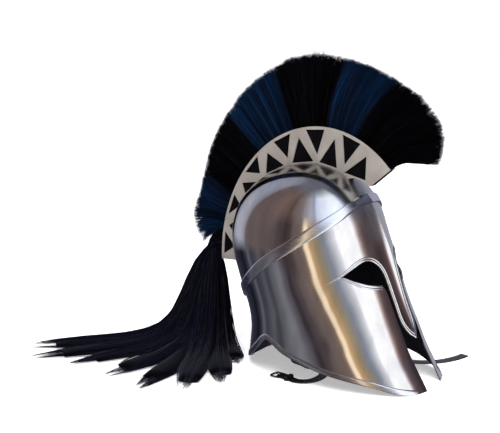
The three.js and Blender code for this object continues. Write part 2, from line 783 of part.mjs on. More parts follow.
const helmet = new THREE.Group();
helmet.name = 'corinthian_helmet';
helmet.position.set(0, -neckRestY, 0);
const worn = new THREE.Group();
worn.name = 'worn_pose';
worn.applyMatrix4(restPose);
helmet.add(worn);
worn.add(toMesh('helmet_shell', shellSolid, 'mirror'));
worn.add(toMesh('brow_band', bandSolid, 'mirror'));
worn.add(toMesh('crest_core', coreSolid, 'core'));
worn.add(toMesh('crest_plate_right', plateRightSolid, 'satin'));
worn.add(toMesh('crest_plate_left', plateLeftSolid, 'satin'));
for (const band of brushBands) {
  worn.add(toMesh(band.name, brushSolid(band), band.colour));
}
helmet.add(toMesh('plume_tail', tailSolid(), 'black'));
const strip = (route) => stripSolid(route, strapWidth, strapThickness, stripFacing);
helmet.add(toMesh('chin_strap_right', strip(strapRightRoute), 'leather'));
helmet.add(toMesh('strap_fold_right', strip(foldRoute), 'leather'));
helmet.add(toMesh('strap_keeper_right', keeperSolid, 'leather'));
helmet.add(toMesh('strap_buckle_right', buckleSolid, 'buckle'));
helmet.add(toMesh('strap_rivet_right', rivetSolid(-1), 'mirror'));
helmet.add(toMesh('chin_strap_left', strip(strapLeftRoute), 'leather'));
helmet.add(toMesh('strap_rivet_left', rivetSolid(1), 'mirror'));

export default helmet;
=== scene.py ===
import math

import bmesh
import bpy
import numpy as np
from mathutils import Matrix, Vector


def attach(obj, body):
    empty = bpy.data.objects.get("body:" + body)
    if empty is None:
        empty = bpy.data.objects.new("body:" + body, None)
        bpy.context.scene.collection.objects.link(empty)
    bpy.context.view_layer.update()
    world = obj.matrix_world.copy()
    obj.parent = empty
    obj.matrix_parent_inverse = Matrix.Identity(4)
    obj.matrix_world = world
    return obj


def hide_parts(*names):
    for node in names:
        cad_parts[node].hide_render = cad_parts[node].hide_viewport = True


bl_info = {
    "name": "Corinthian Helmet",
    "version": (1, 0, 0),
    "blender": (4, 5, 0),
    "location": "View3D > Sidebar > Helmet",
    "description": "Dresses a crested Corinthian helmet and sets it in a plain studio",
    "category": "Object",
}

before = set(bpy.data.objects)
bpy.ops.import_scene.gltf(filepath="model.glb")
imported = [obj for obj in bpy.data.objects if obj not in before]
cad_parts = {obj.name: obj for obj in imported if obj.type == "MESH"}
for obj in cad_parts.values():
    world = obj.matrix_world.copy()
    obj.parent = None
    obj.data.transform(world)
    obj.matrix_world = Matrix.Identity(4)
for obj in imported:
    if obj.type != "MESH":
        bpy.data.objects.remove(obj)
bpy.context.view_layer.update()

BODY = "root"
MM = 0.001

# The helmet is drawn upright in millimetres, then tipped back onto the floor.
TIP_BACK = math.radians(17)
FLOOR_SHIFT = -38.0
FLOOR_SINK = 0.5
NECK_REST = 92.0

# Main sizes of the round body
HALF_WIDTH = 97.0
HALF_DEPTH = 107.0
DOME_TOP = 271.0
BROW_LEVEL = 165.0
DOME_ROUNDNESS = 2.25
KEEL_HEIGHT = 7.0
KEEL_SPREAD = 9.0

# Plan outline at rising heights: height by dome top; front, back and widest place by half
# depth; side by half width; round is 2 for an ellipse and more for a squarer plan
WALL_COLUMNS = ("height", "front", "back", "side", "widest", "round")
WALL_ROWS = (
    (-0.229, 1.215, 1.400, 0.860, -0.280, 2.50),
    (-0.185, 1.206, 1.365, 0.875, -0.234, 2.50),
    (-0.074, 1.145, 1.310, 0.900, -0.140, 2.50),
    (0.000, 1.105, 1.265, 0.915, -0.094, 2.45),
    (0.100, 1.075, 1.180, 0.930, -0.047, 2.40),
    (0.185, 1.045, 1.085, 0.932, -0.019, 2.36),
    (0.277, 1.025, 0.985, 0.940, 0.000, 2.30),
    (0.369, 1.014, 0.950, 0.959, 0.000, 2.24),
    (0.480, 1.000, 0.965, 0.990, 0.000, 2.18),
    (0.609, 0.980, 0.980, 1.000, 0.000, 2.15),
)
KEEL_COLUMNS = ("height", "share")
KEEL_ROWS = (
    (-0.22, 0.0), (0.0, 0.3), (0.22, 0.7), (0.48, 1.0), (0.63, 0.7), (0.74, 0.3), (0.80, 0.0),
)

# Half of the face opening seen from the front: the nose guard and the top of the eye,
# then the bottom of the eye and the edge of the cheek
NASAL_TIP = 16.0
EYE_CORNER = (73.0, 118.0)
CHEEK_GAP_HALF = 23.5
EYE_TOP_OUTLINE = (
    (0.0, NASAL_TIP), (9.4, 25.0), (15.8, 38.0), (17.0, 66.0), (18.5, 92.0), (21.5, 111.0),
    (28.0, 122.0), (36.0, 128.0), (45.0, 129.5), (55.0, 127.0), (65.0, 122.5), EYE_CORNER,
)
EYE_BOTTOM_OUTLINE = (
    EYE_CORNER, (63.0, 109.0), (49.0, 99.5), (35.0, 94.0), (29.0, 92.0), (25.0, 84.0),
    (CHEEK_GAP_HALF, 62.0), (CHEEK_GAP_HALF, 15.0), (CHEEK_GAP_HALF - 2, -70.0),
)
RIM_END_HEIGHT = 91.8

# Lower edge seen from the side, from the neck guard forward to the cheek tips
LOWER_EDGE = (
    (200.0, 27.0), (125.0, 27.0), (114.0, 31.0), (103.0, 35.0), (93.0, 39.0), (84.0, 43.0),
    (72.0, 48.5), (60.0, 55.0), (52.0, 57.0), (43.0, 50.0), (30.0, 37.0), (5.0, 20.0),
    (-20.0, 5.0), (-56.0, -12.0), (-79.0, -23.0), (-106.0, -40.0), (-122.0, -49.5),
    (-200.0, -60.0),
)

# Cross sections of the raised edges: distance from the edge, height over the sheet
EYE_RIM_SECTION = (
    (-0.5, -1.7), (-0.9, -0.9), (-0.9, 0.2), (-0.3, 1.0), (0.6, 1.3), (1.5, 1.1), (2.0, 0.45),
    (2.6, 0.4), (3.1, 0.85), (3.8, 1.05), (4.5, 0.8), (5.0, 0.2), (5.1, -0.5),
)
SPUR_TIP = (83.0, 113.5)
SPUR_TAPER = 30.0
BORDER_SECTION = (
    (-0.4, -1.7), (-0.8, -0.8), (-0.6, 0.4), (0.0, 1.05), (0.9, 1.3), (4.8, 1.3),
    (6.0, 1.15), (6.8, 0.6), (7.1, -0.4),
)

# Brow band: its middle's height by dome top at places along the helmet by half depth, and its
# cross section
BAND_COLUMNS = ("place", "height")
BAND_ROWS = (
    (-1.05, 0.766), (-0.92, 0.749), (-0.80, 0.713), (-0.57, 0.675), (-0.28, 0.636),
    (0.02, 0.599), (0.23, 0.570), (0.40, 0.539), (0.70, 0.480), (1.05, 0.411),
)
BAND_SECTION = (
    (-7.5, 0.4), (-7.5, 1.7), (-7.1, 2.4), (-6.3, 2.75), (-3.0, 2.8), (0.0, 2.8), (3.0, 2.8),
    (6.3, 2.75), (7.1, 2.4), (7.5, 1.7), (7.5, 0.4),
)

# Crest arc, an ellipse in the middle plane
CREST_CENTRE = (-3.0, 135.0)
CREST_SHORT = 152.0
CREST_LONG = 185.0
CREST_LEAN = math.radians(21.2)
BRUSH_COLUMNS = ("angle", "length", "direction")
BRUSH_ROWS = (
    (6.3, 45, -14), (10, 56, 20), (15, 54, 40), (23.4, 58, 51), (35, 67, 55), (48.5, 75, 62),
    (60, 84, 75), (71.2, 91, 87), (80, 96, 101), (90, 94, 123), (98, 92, 132), (107, 92, 143),
    (115, 95, 154), (122, 90, 172), (129, 64, 188),
)
BRUSH_BANDS = (
    ("plume_nape_blue", 6.3, 23.4, "blue"),
    ("plume_back_black", 23.4, 48.5, "black"),
    ("plume_back_blue", 48.5, 71.2, "blue"),
    ("plume_top_black", 71.2, 90.0, "black"),
    ("plume_front_blue", 90.0, 107.0, "blue"),
    ("plume_front_black", 107.0, 129.0, "black"),
)
BRUSH_ROOT_HALF = 6.0
BRUSH_TIP_HALF = 14.0

# Tail, in resting millimetres: where each lock ends on the floor, and the lock's height and
# half sizes along its way
TAIL_ROOT = (0.0, 171.0)
TAIL_HEAD_ANGLES = (-7.2, 7.0)
TAIL_HEAD_STEPS = 4
TAIL_SPRING = 9.0
TAIL_ENDS = (
    (-12, 142), (-68, 84), (-142, 60), (-196, 84), (-216, 140), (-204, 206),
    (-196, 276), (-206, 338), (-174, 384), (-124, 326), (-74, 280), (-22, 234),
)
LOCK_COLUMNS = ("way", "rise", "wide", "thick")
LOCK_ROWS = (
    (0.000, 138, 5.5, 11), (0.030, 122, 11, 17), (0.070, 97, 15, 20), (0.120, 66, 17, 19),
    (0.185, 36, 20, 15), (0.280, 16, 22, 11), (0.450, 6, 24, 8), (0.780, 4, 22, 6),
    (1.000, 2, 9, 3),
)

# Strap routes, in resting metres before the shift to the neck rest
RIGHT_STRAP = (
    (-0.0874, -0.0300, 0.0920), (-0.0872, -0.0295, 0.0820), (-0.0856, -0.0270, 0.0680),
    (-0.0805, -0.0200, 0.0520), (-0.0710, -0.0090, 0.0360), (-0.0580, 0.0010, 0.0210),
    (-0.0450, 0.0045, 0.0095), (-0.0340, 0.0010, 0.0030), (-0.0275, -0.0090, 0.0012),
    (-0.0280, -0.0210, 0.0010), (-0.0360, -0.0310, 0.0010), (-0.0480, -0.0355, 0.0010),
    (-0.0620, -0.0355, 0.0010), (-0.0760, -0.0305, 0.0012), (-0.0845, -0.0180, 0.0018),
    (-0.0825, -0.0060, 0.0021), (-0.0800, 0.0074, 0.0021),
)
LEFT_STRAP = (
    (0.0874, -0.0300, 0.0920), (0.0866, -0.0310, 0.0800), (0.0838, -0.0350, 0.0640),
    (0.0790, -0.0430, 0.0460), (0.0730, -0.0540, 0.0280), (0.0675, -0.0670, 0.0130),
    (0.0645, -0.0810, 0.0045), (0.0642, -0.0960, 0.0016), (0.0670, -0.1100, 0.0010),
    (0.0735, -0.1235, 0.0010), (0.0820, -0.1355, 0.0010), (0.0925, -0.1455, 0.0010),
    (0.1050, -0.1530, 0.0010), (0.1190, -0.1590, 0.0010), (0.1340, -0.1630, 0.0010),
)
FOLD_ROUTE = (
    (-0.0826, -0.0080, 0.0040), (-0.0814, 0.0000, 0.0040), (-0.0802, 0.0068, 0.0041),
    (-0.0798, 0.0100, 0.0042), (-0.0796, 0.0118, 0.0034), (-0.0796, 0.0122, 0.0022),
    (-0.0797, 0.0112, 0.0010), (-0.0800, 0.0086, 0.0008),
)
BUCKLE_CENTRE = (-78.9, 15.4, 2.2)
BUCKLE_TURN = -10.0
KEEPER_CENTRE = (-82.4, -4.4, 3.35)
KEEPER_TURN = -8.0
RIVET_PLACE = (84.8, -30.0, 86.0)
# What the maker's steps use: rounds, shares and small sizes, in millimetres and degrees
CUTTER_REACH = 400.0
OPENING_DEPTH = -20.0
FACE_INSET = 0.06
SHEET_NEAR = 0.006
RIM_STEPS = 120
RIM_MIDDLE = (40.0, -100.0, 108.0)
SOCKET_MIDDLE = (45.0, -100.0, 100.0)
NASAL_HEIGHT = 112.0
NASAL_TIP_HEIGHT = 40.0
SPUR_THIN = 0.12
BORDER_UP = (0.0, 0.3, 1.0)
BAND_ROUNDS = 40
EDGE_EASE = 0.25
EDGE_SHARP = 40

# Strands: their lean, taper and tips, and the place along the painted root shade given to what lies
# under them
STRAND_LEAN = (1.0, 0.45, 0.45)
STRAND_TAPER = 0.85
BACKING_SHADE_PLACE = 0.1
STRAND_BEND = 0.45
TUFT_SHARE = 0.85
TUFT_PULL = 0.32
TUFT_RAGGED = 0.012
STRAND_RAGGED = 0.014
BRUSH_SWAY = 1.1
BRUSH_BACKING = ((-0.04, 5.0), (0.35, 6.0), (0.7, 7.5), (0.94, 8.0), (1.0, 4.0))
BRUSH_COVER = 13.0
LOCK_EASE = 1.8
TIP_PULL = 0.5
TIP_START = 0.8
TIP_RUN = 0.2
WISP_SPREAD = 0.17
BACKING_FLOOR = 0.6
TAIL_FLOOR = 0.7
TAIL_SEED_STEP = 40

# Straps and fittings: how the strap turns on edge, the wire, the prong and the rings of the
# keeper (place, inset, corner) and of the rivet's head (radius, height)
STRAP_LEVEL = 0.004
STRAP_TURN = 0.036
EDGE_ROUND = 0.3
FOLD_WIDTH = 0.96
FOLD_THICKNESS = 0.6
BUCKLE_FRAME = (15.8, 11.8, 2.4)
WIRE_RADIUS = 1.1
PRONG_ENDS = (-5.6, 6.4)
PRONG_HALF = (0.85, 0.6)
KEEPER_ROOM = (2.8, 3.2)
KEEPER_RINGS = (
    (-2.5, 0.25, 1.3), (-2.2, 0.0, 1.3), (2.2, 0.0, 1.3), (2.5, 0.25, 1.3), (2.5, 1.0, 0.4),
    (-2.5, 1.0, 0.4),
)
RIVET_RINGS = ((4.5, 0.7), (4.45, 0.3), (4.0, -0.15), (3.0, -0.5), (1.6, -0.68), (0.4, -0.7))

# Lights: direction and spread in degrees
WINDOW = ((0.45, 0.25, -1.0), 40)
CEILING = ((-0.1, -0.1, -1.0), 70)

# Most of a noise pattern lies between these two values
PATTERN = (0.3, 0.7)


def bent(start, bend, end, t):
    """Place at t on a curve from start to end that leans toward bend."""
    return (1 - t) ** 2 * start + 2 * t * (1 - t) * bend + t * t * end

# Camera, in metres and as directions
CAMERA_PLACE = (-1.13172, -0.71738, 0.45449)
CAMERA_AIM = (0.82327, 0.53463, -0.19081)

# What the polished steel mirrors, by turn round the helmet from the front, in degrees:
# the floor round the table, the room at eye level, and the room above it
ROOM_FLOOR = (
    (-180, "14161f"), (-171, "2c2e38"), (-163, "55575f"), (-156, "3a3a43"), (-150, "42424b"),
    (-142, "52525a"), (-134, "3e3e45"), (-127, "5a5a60"), (-120, "727177"), (-115, "56525a"),
    (-110, "352f34"), (-104, "4a4244"), (-97, "605552"), (-89, "6e6058"), (-84, "6a5a50"),
    (-81, "f0dcbc"), (-78, "f4e0c2"), (-74, "a88c64"), (-68, "74685a"), (-58, "86868a"),
    (-50, "6d7684"), (-42, "9a9da6"), (-34, "c6c8ce"), (-27, "ffffff"), (6, "ffffff"),
    (14, "92827a"), (30, "5a4e50"), (60, "454458"), (110, "4a4b58"), (165, "22242e"), (180, "14161f"),
)
ROOM_LOW = (
    (-180, "9a9ba6"), (-171, "8e8e98"), (-164, "625856"), (-130, "5f5452"), (-113, "483e40"),
    (-106, "3c3232"), (-101, "463a3a"), (-94, "645856"), (-88, "695a54"), (-83, "7c695c"),
    (-80, "f0d8b8"), (-77, "fae2c0"), (-73, "b8966c"), (-65, "948468"), (-57, "84807c"),
    (-51, "7c8290"), (-46, "9296a0"), (-41, "b0b2b8"), (-35, "ccced4"), (-28, "ffffff"),
    (5, "ffffff"), (9, "c8b8b4"), (14, "84706a"), (20, "5a4848"), (28, "4a3e40"),
    (38, "342c2e"), (55, "45424a"), (74, "8e8e98"), (112, "8a8c96"), (150, "74757f"),
    (168, "9a9ba6"), (180, "9a9ba6"),
)
ROOM_HIGH = (
    (-180, "8c8e9c"), (-171, "83828c"), (-162, "625653"), (-150, "60524f"), (-124, "6a5652"),
    (-113, "61504a"), (-106, "554641"),
    (-97, "6c5f5c"), (-88, "74696a"), (-79, "8a8589"), (-70, "9c9ca4"), (-63, "9298a4"),
    (-56, "ccd4ea"), (-45, "dfe8fa"), (-30, "e4ecfc"), (-15, "f6fdff"), (1, "eef5fe"),
    (8, "a8b0c0"), (15, "4c4f5f"), (60, "43485b"), (92, "46465a"), (112, "38363e"),
    (135, "686a76"), (168, "8c8e9c"), (180, "8c8e9c"),
)
ROOM_TOP = "5f6068"
# Elevations, in degrees, over which each layer of the room gives way to the next
ROOM_LEVELS = ((-17, -9), (18, 34), (62, 82))


# Numbers and curves

def columns(names, rows):
    """A table of rows as a dictionary of columns."""
    values = np.array(rows, float)
    return {name: values[:, i] for i, name in enumerate(names)}


WALL = columns(WALL_COLUMNS, WALL_ROWS)
KEEL = columns(KEEL_COLUMNS, KEEL_ROWS)
BRUSH = columns(BRUSH_COLUMNS, BRUSH_ROWS)
LOCK = columns(LOCK_COLUMNS, LOCK_ROWS)
BAND = columns(BAND_COLUMNS, BAND_ROWS)


def read_table(table, key, value, at):
    """Smooth value between a table's rows, held at its ends."""
    where, what = table[key], table[value]
    at = np.clip(np.asarray(at, float), where[0], where[-1])
    slope = np.gradient(what)
    slope[1:-1] = (what[2:] - what[:-2]) / (where[2:] - where[:-2])
    slope[0] = (what[1] - what[0]) / (where[1] - where[0])
    slope[-1] = (what[-1] - what[-2]) / (where[-1] - where[-2])
    i = np.clip(np.searchsorted(where, at) - 1, 0, len(where) - 2)
    span = where[i + 1] - where[i]
    t = (at - where[i]) / span
    return (
        (2 * t**3 - 3 * t**2 + 1) * what[i]
        + (t**3 - 2 * t**2 + t) * span * slope[i]
        + (3 * t**2 - 2 * t**3) * what[i + 1]
        + (t**3 - t**2) * span * slope[i + 1]
    )


def signed_power(value, power):
    return np.sign(value) * np.abs(value) ** power


def unit(vectors):
    size = np.linalg.norm(vectors, axis=-1, keepdims=True)
    return vectors / np.maximum(size, 1e-12)


def through(points, steps):
    """Even, smooth curve through given points."""
    points = np.array(points, float)
    padded = np.vstack([2 * points[0] - points[1], points, 2 * points[-1] - points[-2]])
    curve = []
    for p0, p1, p2, p3 in zip(padded, padded[1:], padded[2:], padded[3:]):
        t1 = np.linalg.norm(p1 - p0) ** 0.5
        t2 = t1 + np.linalg.norm(p2 - p1) ** 0.5
        t3 = t2 + np.linalg.norm(p3 - p2) ** 0.5
        t = np.linspace(t1, t2, 12, endpoint=False)[:, None]
        a1 = (t1 - t) / t1 * p0 + t / t1 * p1
        a2 = (t2 - t) / (t2 - t1) * p1 + (t - t1) / (t2 - t1) * p2
        a3 = (t3 - t) / (t3 - t2) * p2 + (t - t2) / (t3 - t2) * p3
        b1 = (t2 - t) / t2 * a1 + t / t2 * a2
        b2 = (t3 - t) / (t3 - t1) * a2 + (t - t1) / (t3 - t1) * a3
        curve.append((t2 - t) / (t2 - t1) * b1 + (t - t1) / (t2 - t1) * b2)
    curve = np.vstack(curve + [points[-1:]])
    reach = np.r_[0, np.cumsum(np.linalg.norm(np.diff(curve, axis=0), axis=1))]
    even = np.linspace(0, reach[-1], steps + 1)
    return np.stack([np.interp(even, reach, curve[:, k]) for k in range(points.shape[1])], 1)


def seat(points):
    """Upright millimetres to the resting helmet in metres."""
    moved = np.asarray(points, float) + (0, FLOOR_SHIFT, 0)
    return (tip(moved) - (0, NECK_REST, FLOOR_SINK)) * MM


def tip(vectors):
    """Upright directions to resting directions."""
    x, y, z = np.moveaxis(np.asarray(vectors, float), -1, 0)
    return np.stack([
        x,
        y * math.cos(TIP_BACK) + z * math.sin(TIP_BACK),
        z * math.cos(TIP_BACK) - y * math.sin(TIP_BACK),
    ], -1)


def rest(points):
    """Resting millimetres to the frame's metres."""
    return (np.asarray(points, float) - (0, NECK_REST, 0)) * MM


# Round body

def plan_at(z, offset):
    """Front, back and side reach, widest place, roundness and rise into the dome at a height."""
    level = np.minimum(z, BROW_LEVEL) / DOME_TOP
    rise = np.clip((z - BROW_LEVEL) / (DOME_TOP + offset - BROW_LEVEL), 0, None)
    front, back, side, widest, roundness = (
        read_table(WALL, "height", name, level) for name in WALL_COLUMNS[1:]
    )
    front, back = front * HALF_DEPTH + offset, back * HALF_DEPTH + offset
    return front, back, side * HALF_WIDTH + offset, widest * HALF_DEPTH, roundness, rise


def dome_shrink(rise):
    """Share of the plan left at a rise into the dome, 0 at its top."""
    return np.maximum(1 - rise**DOME_ROUNDNESS, 0) ** (1 / DOME_ROUNDNESS)


def crease_at(x, z):
    keel = KEEL_HEIGHT * read_table(KEEL, "height", "share", z / DOME_TOP)
    return keel * np.exp(-np.abs(x) / KEEL_SPREAD)


def body_points(z, turn, offset):
    """Points of the round body at heights and turns, 0 at the face."""
    front, back, side, widest, roundness, rise = plan_at(z, offset)
    shrink = dome_shrink(rise)
    across = signed_power(np.sin(turn), 2 / roundness)
    along = signed_power(np.cos(turn), 2 / roundness)
    x = side * shrink * across
    reach = np.where(along > 0, front + widest, back - widest) * shrink
    crease = np.where(along > 0, crease_at(x, z), 0)
    y = widest * shrink - reach * along - crease
    return np.stack(np.broadcast_arrays(x, y, z), -1)


def body_depth(points, offset):
    """Zero on the round body, more outside and less inside."""
    x, y, z = points[..., 0], points[..., 1], points[..., 2]
    front, back, side, widest, roundness, rise = plan_at(z, offset)
    flat = widest - y
    along = np.where(
        flat > 0,
        np.maximum(flat - crease_at(x, z), 0) / (front + widest),
        flat / (back - widest),
    )
    ring = np.abs(x / side) ** roundness + np.abs(along) ** roundness
    return ring ** (DOME_ROUNDNESS / roundness) + rise**DOME_ROUNDNESS - 1


def body_slope(points, offset):
    """Direction and steepness in which body_depth grows."""
    step = 0.02
    slope = []
    for axis in np.eye(3):
        more = body_depth(points + axis * step, offset)
        less = body_depth(points - axis * step, offset)
        slope.append((more - less) / (2 * step))
    return np.stack(slope, -1)


def onto_body(points, offset):
    """Points moved straight onto the round body."""
    for _ in range(4):
        slope = body_slope(points, offset)
        points = points - slope * (
            body_depth(points, offset) / np.maximum((slope**2).sum(-1), 1e-12)
        )[..., None]
    return points


def front_point(x, z):
    """Point of the front of the body behind (x, z)."""
    front, _, side, widest, roundness, rise = plan_at(z, 0)
    shrink = dome_shrink(rise)
    along = np.maximum(1 - np.abs(x / (side * shrink)) ** roundness, 0) ** (1 / roundness)
    y = widest * shrink - (front + widest) * shrink * along - crease_at(x, z)
    return np.stack([x, y, z], -1)


def scene_object(name, data):
    """An object of a mesh, lamp or camera, put in the scene."""
    made = bpy.data.objects.new(name, data)
    bpy.context.scene.collection.objects.link(made)
    return made


def new_mesh(name, points, faces):
    mesh = bpy.data.meshes.new(name)
    mesh.from_pydata(np.asarray(points).tolist(), [], [list(face) for face in faces])
    return mesh


def turn_outward(mesh, sharp=None):
    """Faces turned outward; edges sharper than an angle in degrees stay crisp."""
    work = bmesh.new()
    work.from_mesh(mesh)
    bmesh.ops.recalc_face_normals(work, faces=work.faces)
    if sharp:
        for edge in work.edges:
            edge.smooth = edge.is_manifold and edge.calc_face_angle(0) < math.radians(sharp)
    work.to_mesh(mesh)
    work.free()


def dressed(name, mesh, replaced=()):
    """A piece that rides on the helmet, in place of the solids that it replaces."""
    piece = scene_object(name, mesh)
    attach(piece, BODY)
    if replaced:
        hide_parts(*replaced)
    return piece


def side_point(y, z):
    """Point of the right side of the body at (y, z)."""
    front, back, side, widest, roundness, _ = plan_at(z, 0)
    flat = widest - y
    reach = np.where(flat > 0, front + widest, back - widest)
    along = np.minimum(np.abs(flat) / reach, 1)
    x = side * (1 - along**roundness) ** (1 / roundness)
    return np.stack([-x, y, z], -1)


# Meshes

def make_piece(name, points, faces, finish, slot_name, replaced=(), sharp=None):
    """A smooth piece in one finish; edges sharper than an angle in degrees stay crisp."""
    mesh = new_mesh(name, points, faces)
    mesh.validate()
    mesh.update()
    mesh.shade_smooth()
    mesh.materials.append(finish)
    if sharp:
        turn_outward(mesh, sharp)
    return dressed(name, mesh, replaced)


def joined(*skins):
    """Points and faces of several skins as one."""
    points, faces, start = [], [], 0
    for more_points, more_faces in skins:
        points.append(more_points)
        faces += [tuple(start + i for i in face) for face in more_faces]
        start += len(more_points)
    return np.vstack(points), faces


def rings_round(line, side, up, wide, thick, sides):
    """Oval rings round a line, with half sizes along its side and up directions."""
    turns = np.linspace(0, 2 * math.pi, sides, endpoint=False)[None, :, None]
    side, up = (np.broadcast_to(way, line.shape)[:, None] for way in (side, up))
    wide, thick = (np.broadcast_to(half, len(line))[:, None, None] for half in (wide, thick))
    return line[:, None] + side * (wide * np.cos(turns)) + up * (thick * np.sin(turns))


def cutter(points, faces):
    """A closed body to cut with."""
    mesh = new_mesh("cutter", points, faces)
    turn_outward(mesh)
    return scene_object("cutter", mesh)


def grid_faces(rows, count, closed, first=0):
    """Quads between rows of points; closed joins each row's end to its start."""
    faces = []
    for r in range(rows - 1):
        for i in range(count if closed else count - 1):
            a = first + r * count + i
            b = first + r * count + (i + 1) % count
            faces.append((a, b, b + count, a + count))
    return faces


def tube(rings, closed=True, capped=True):
    """Points and faces of a skin over rings of equal count."""
    rows, count = rings.shape[:2]
    points = rings.reshape(-1, 3)
    faces = grid_faces(rows, count, closed)
    if capped:
        faces.append(tuple(range(count - 1, -1, -1)))
        faces.append(tuple(range((rows - 1) * count, rows * count)))
    return points, faces


def prism(outline, axis, start, end):
    """Cutter of a closed outline, drawn in the two axes other than the given one."""
    ends = [np.insert(np.array(outline, float), axis, at, axis=1) for at in (start, end)]
    return cutter(*tube(np.array(ends)))


# Materials

def linear(hex_colour):
    """sRGB hex to linear colour with full alpha."""
    out = []
    for i in (0, 2, 4):
        share = int(hex_colour[i:i + 2], 16) / 255
        out.append(share / 12.92 if share <= 0.04045 else ((share + 0.055) / 1.055) ** 2.4)
    return (*out, 1.0)


def add_node(tree, kind, settings=()):
    """One node; each setting is a value, or the node or socket that feeds it."""
    node = tree.nodes.new(kind)
    for name, value in dict(settings).items():
        if isinstance(value, bpy.types.Node):
            value = value.outputs[0]
        if isinstance(value, bpy.types.NodeSocket):
            tree.links.new(value, node.inputs[name])
        elif isinstance(name, str) and hasattr(node, name):
            setattr(node, name, value)
        else:
            node.inputs[name].default_value = value
    return node


def spread_over(value, start, end, first, last):
    """Range settings: a value from start to end gives one from first to last."""
    return {"Value": value, "From Min": start, "From Max": end, "To Min": first, "To Max": last}


def set_ramp(node, stops):
    """Colour stops, as (place, hex colour) pairs, on a ramp node."""
    ramp = node.color_ramp
    while len(ramp.elements) > 1:
        ramp.elements.remove(ramp.elements[-1])
    first, *rest_of_stops = stops
    ramp.elements[0].position, ramp.elements[0].color = first[0], linear(first[1])
    for place, colour in rest_of_stops:
        ramp.elements.new(place).color = linear(colour)
    return node


def start_material(name):
    """A new material and its empty tree."""
    material = bpy.data.materials.new(name)
    material.use_nodes = True
    material.node_tree.nodes.clear()
    return material, material.node_tree


def end_material(tree, settings):
    """The shader and what feeds it, joined to the material's surface."""
    shader = add_node(tree, "ShaderNodeBsdfPrincipled", settings)
    add_node(tree, "ShaderNodeOutputMaterial", {"Surface": shader})


def metre_noise(tree, size_mm, detail=2.0, stretch=(1, 1, 1)):
    """Noise whose features are size_mm long, stretched along axes."""
    where = add_node(tree, "ShaderNodeTexCoord").outputs["Object"]
    scale = tuple(1 / share for share in stretch)
    scaled = add_node(tree, "ShaderNodeMapping", {"Scale": scale, "Vector": where})
    return add_node(tree, "ShaderNodeTexNoise", {
        "Scale": 1 / (size_mm * MM), "Detail": detail, "Vector": scaled,
    })


def patterned(name, tones, cloud, gloss, grain, relief, settings):
    """A material whose tones follow one pattern, and its roughness and relief another.

    A pattern is its size in millimetres, detail and stretch; relief is depth in millimetres
    and strength, or nothing."""
    material, tree = start_material(name)
    cloud = metre_noise(tree, *cloud)
    grain = metre_noise(tree, *grain) if grain else cloud
    ramp = add_node(tree, "ShaderNodeValToRGB", {"Fac": cloud})
    settings = dict(settings)
    settings["Base Color"] = set_ramp(ramp, list(zip(PATTERN, tones)))
    settings["Roughness"] = add_node(
        tree, "ShaderNodeMapRange", spread_over(grain, *PATTERN, *gloss),
    )
    if relief:
        depth, strength = relief
        settings["Normal"] = add_node(tree, "ShaderNodeBump", {
            "Strength": strength, "Distance": depth * MM, "Height": grain,
        })
    end_material(tree, settings)
    return material


def mirror_polished_steel(name, finish):
    """Steel sheet raised by hammer and buffed bright: it mirrors the room, a little wavy,
    and is duller beside the holder, where the buffing wheel doesn't reach."""
    material, tree = start_material(name)
    smears = metre_noise(tree, 18, 3, (1, 1, 3))
    dents = metre_noise(tree, 34, 1)
    ramp = add_node(tree, "ShaderNodeValToRGB", {"Fac": smears})
    polish = spread_over(smears, 0.35, 0.7, finish.polish, finish.polish + 0.05)
    polish = add_node(tree, "ShaderNodeMapRange", polish)
    where = add_node(tree, "ShaderNodeTexCoord").outputs["Object"]
    axes = add_node(tree, "ShaderNodeSeparateXYZ", {"Vector": where})
    across = add_node(tree, "ShaderNodeMath", {"operation": "ABSOLUTE", 0: axes})
    beside = spread_over(across, 0.012, 0.055, 0.26, 0.0)
    beside = add_node(tree, "ShaderNodeMapRange", beside)
    above = spread_over(axes.outputs[2], 0.15, 0.21, 0.0, 1.0)
    above = add_node(tree, "ShaderNodeMapRange", above)
    dull = add_node(tree, "ShaderNodeMath", {"operation": "MULTIPLY", 0: beside, 1: above})
    end_material(tree, {
        "Metallic": 1.0,
        "Base Color": set_ramp(ramp, list(zip(PATTERN, (finish.steel_shade, finish.steel)))),
        "Roughness": add_node(tree, "ShaderNodeMath", {"operation": "ADD", 0: polish, 1: dull}),
        "Normal": add_node(tree, "ShaderNodeBump", {
            "Strength": 0.25, "Distance": 0.9 * MM, "Height": dents,
        }),
    })
    return material


def buffed_steel_edge(name, finish):
    """The same steel on raised edges, worn brighter and finely scratched by handling."""
    return patterned(
        name, (finish.steel_shade, finish.edge_steel), (1.6, 4, (6, 6, 1)), (0.14, 0.24), None,
        (0.06, 0.3), {"Metallic": 1.0},
    )


def satin_band_steel(name, finish):
    """The brow band's steel, brushed along its length to a soft grey. The brush marks are
    finer than 1 mm, and are drawn that coarse so that they show."""
    return patterned(
        name, (finish.band_shade, finish.band), (1.0, 3, (20, 20, 1)), (0.18, 0.26), None,
        (0.02, 0.15), {"Metallic": 1.0},
    )


def satin_plate_steel(name, finish):
    """Flat plate wiped with a fine abrasive: pale warm grey, even, no clear reflections. Its
    grain is drawn at 1 mm, coarser than the real one, so that it shows."""
    return patterned(
        name, (finish.plate_shade, finish.plate), (24, 3), (0.42, 0.56), (1.0, 3, (1, 8, 8)),
        (0.04, 0.25), {"Metallic": 0.55},
    )


def blackened_steel_and_inside_shade(name, finish):
    """The inside of the sheet, oil blackened, its near-black bluish tone also painted shade for the
    inside of the helmet: almost no light comes back.
    """
    return patterned(
        name, (finish.inside, finish.inside_light), (9, 4), (0.5, 0.7), None, (0.3, 0.4), {},
    )


def black_stained_beech(name, finish):
    """The holder's core of fine beech, stained black: a dull face with faint grain."""
    return patterned(
        name, (finish.core, finish.core_light), (1.4, 5, (1, 9, 9)), (0.5, 0.68), None,
        (0.12, 0.5), {"Specular IOR Level": 0.08},
    )


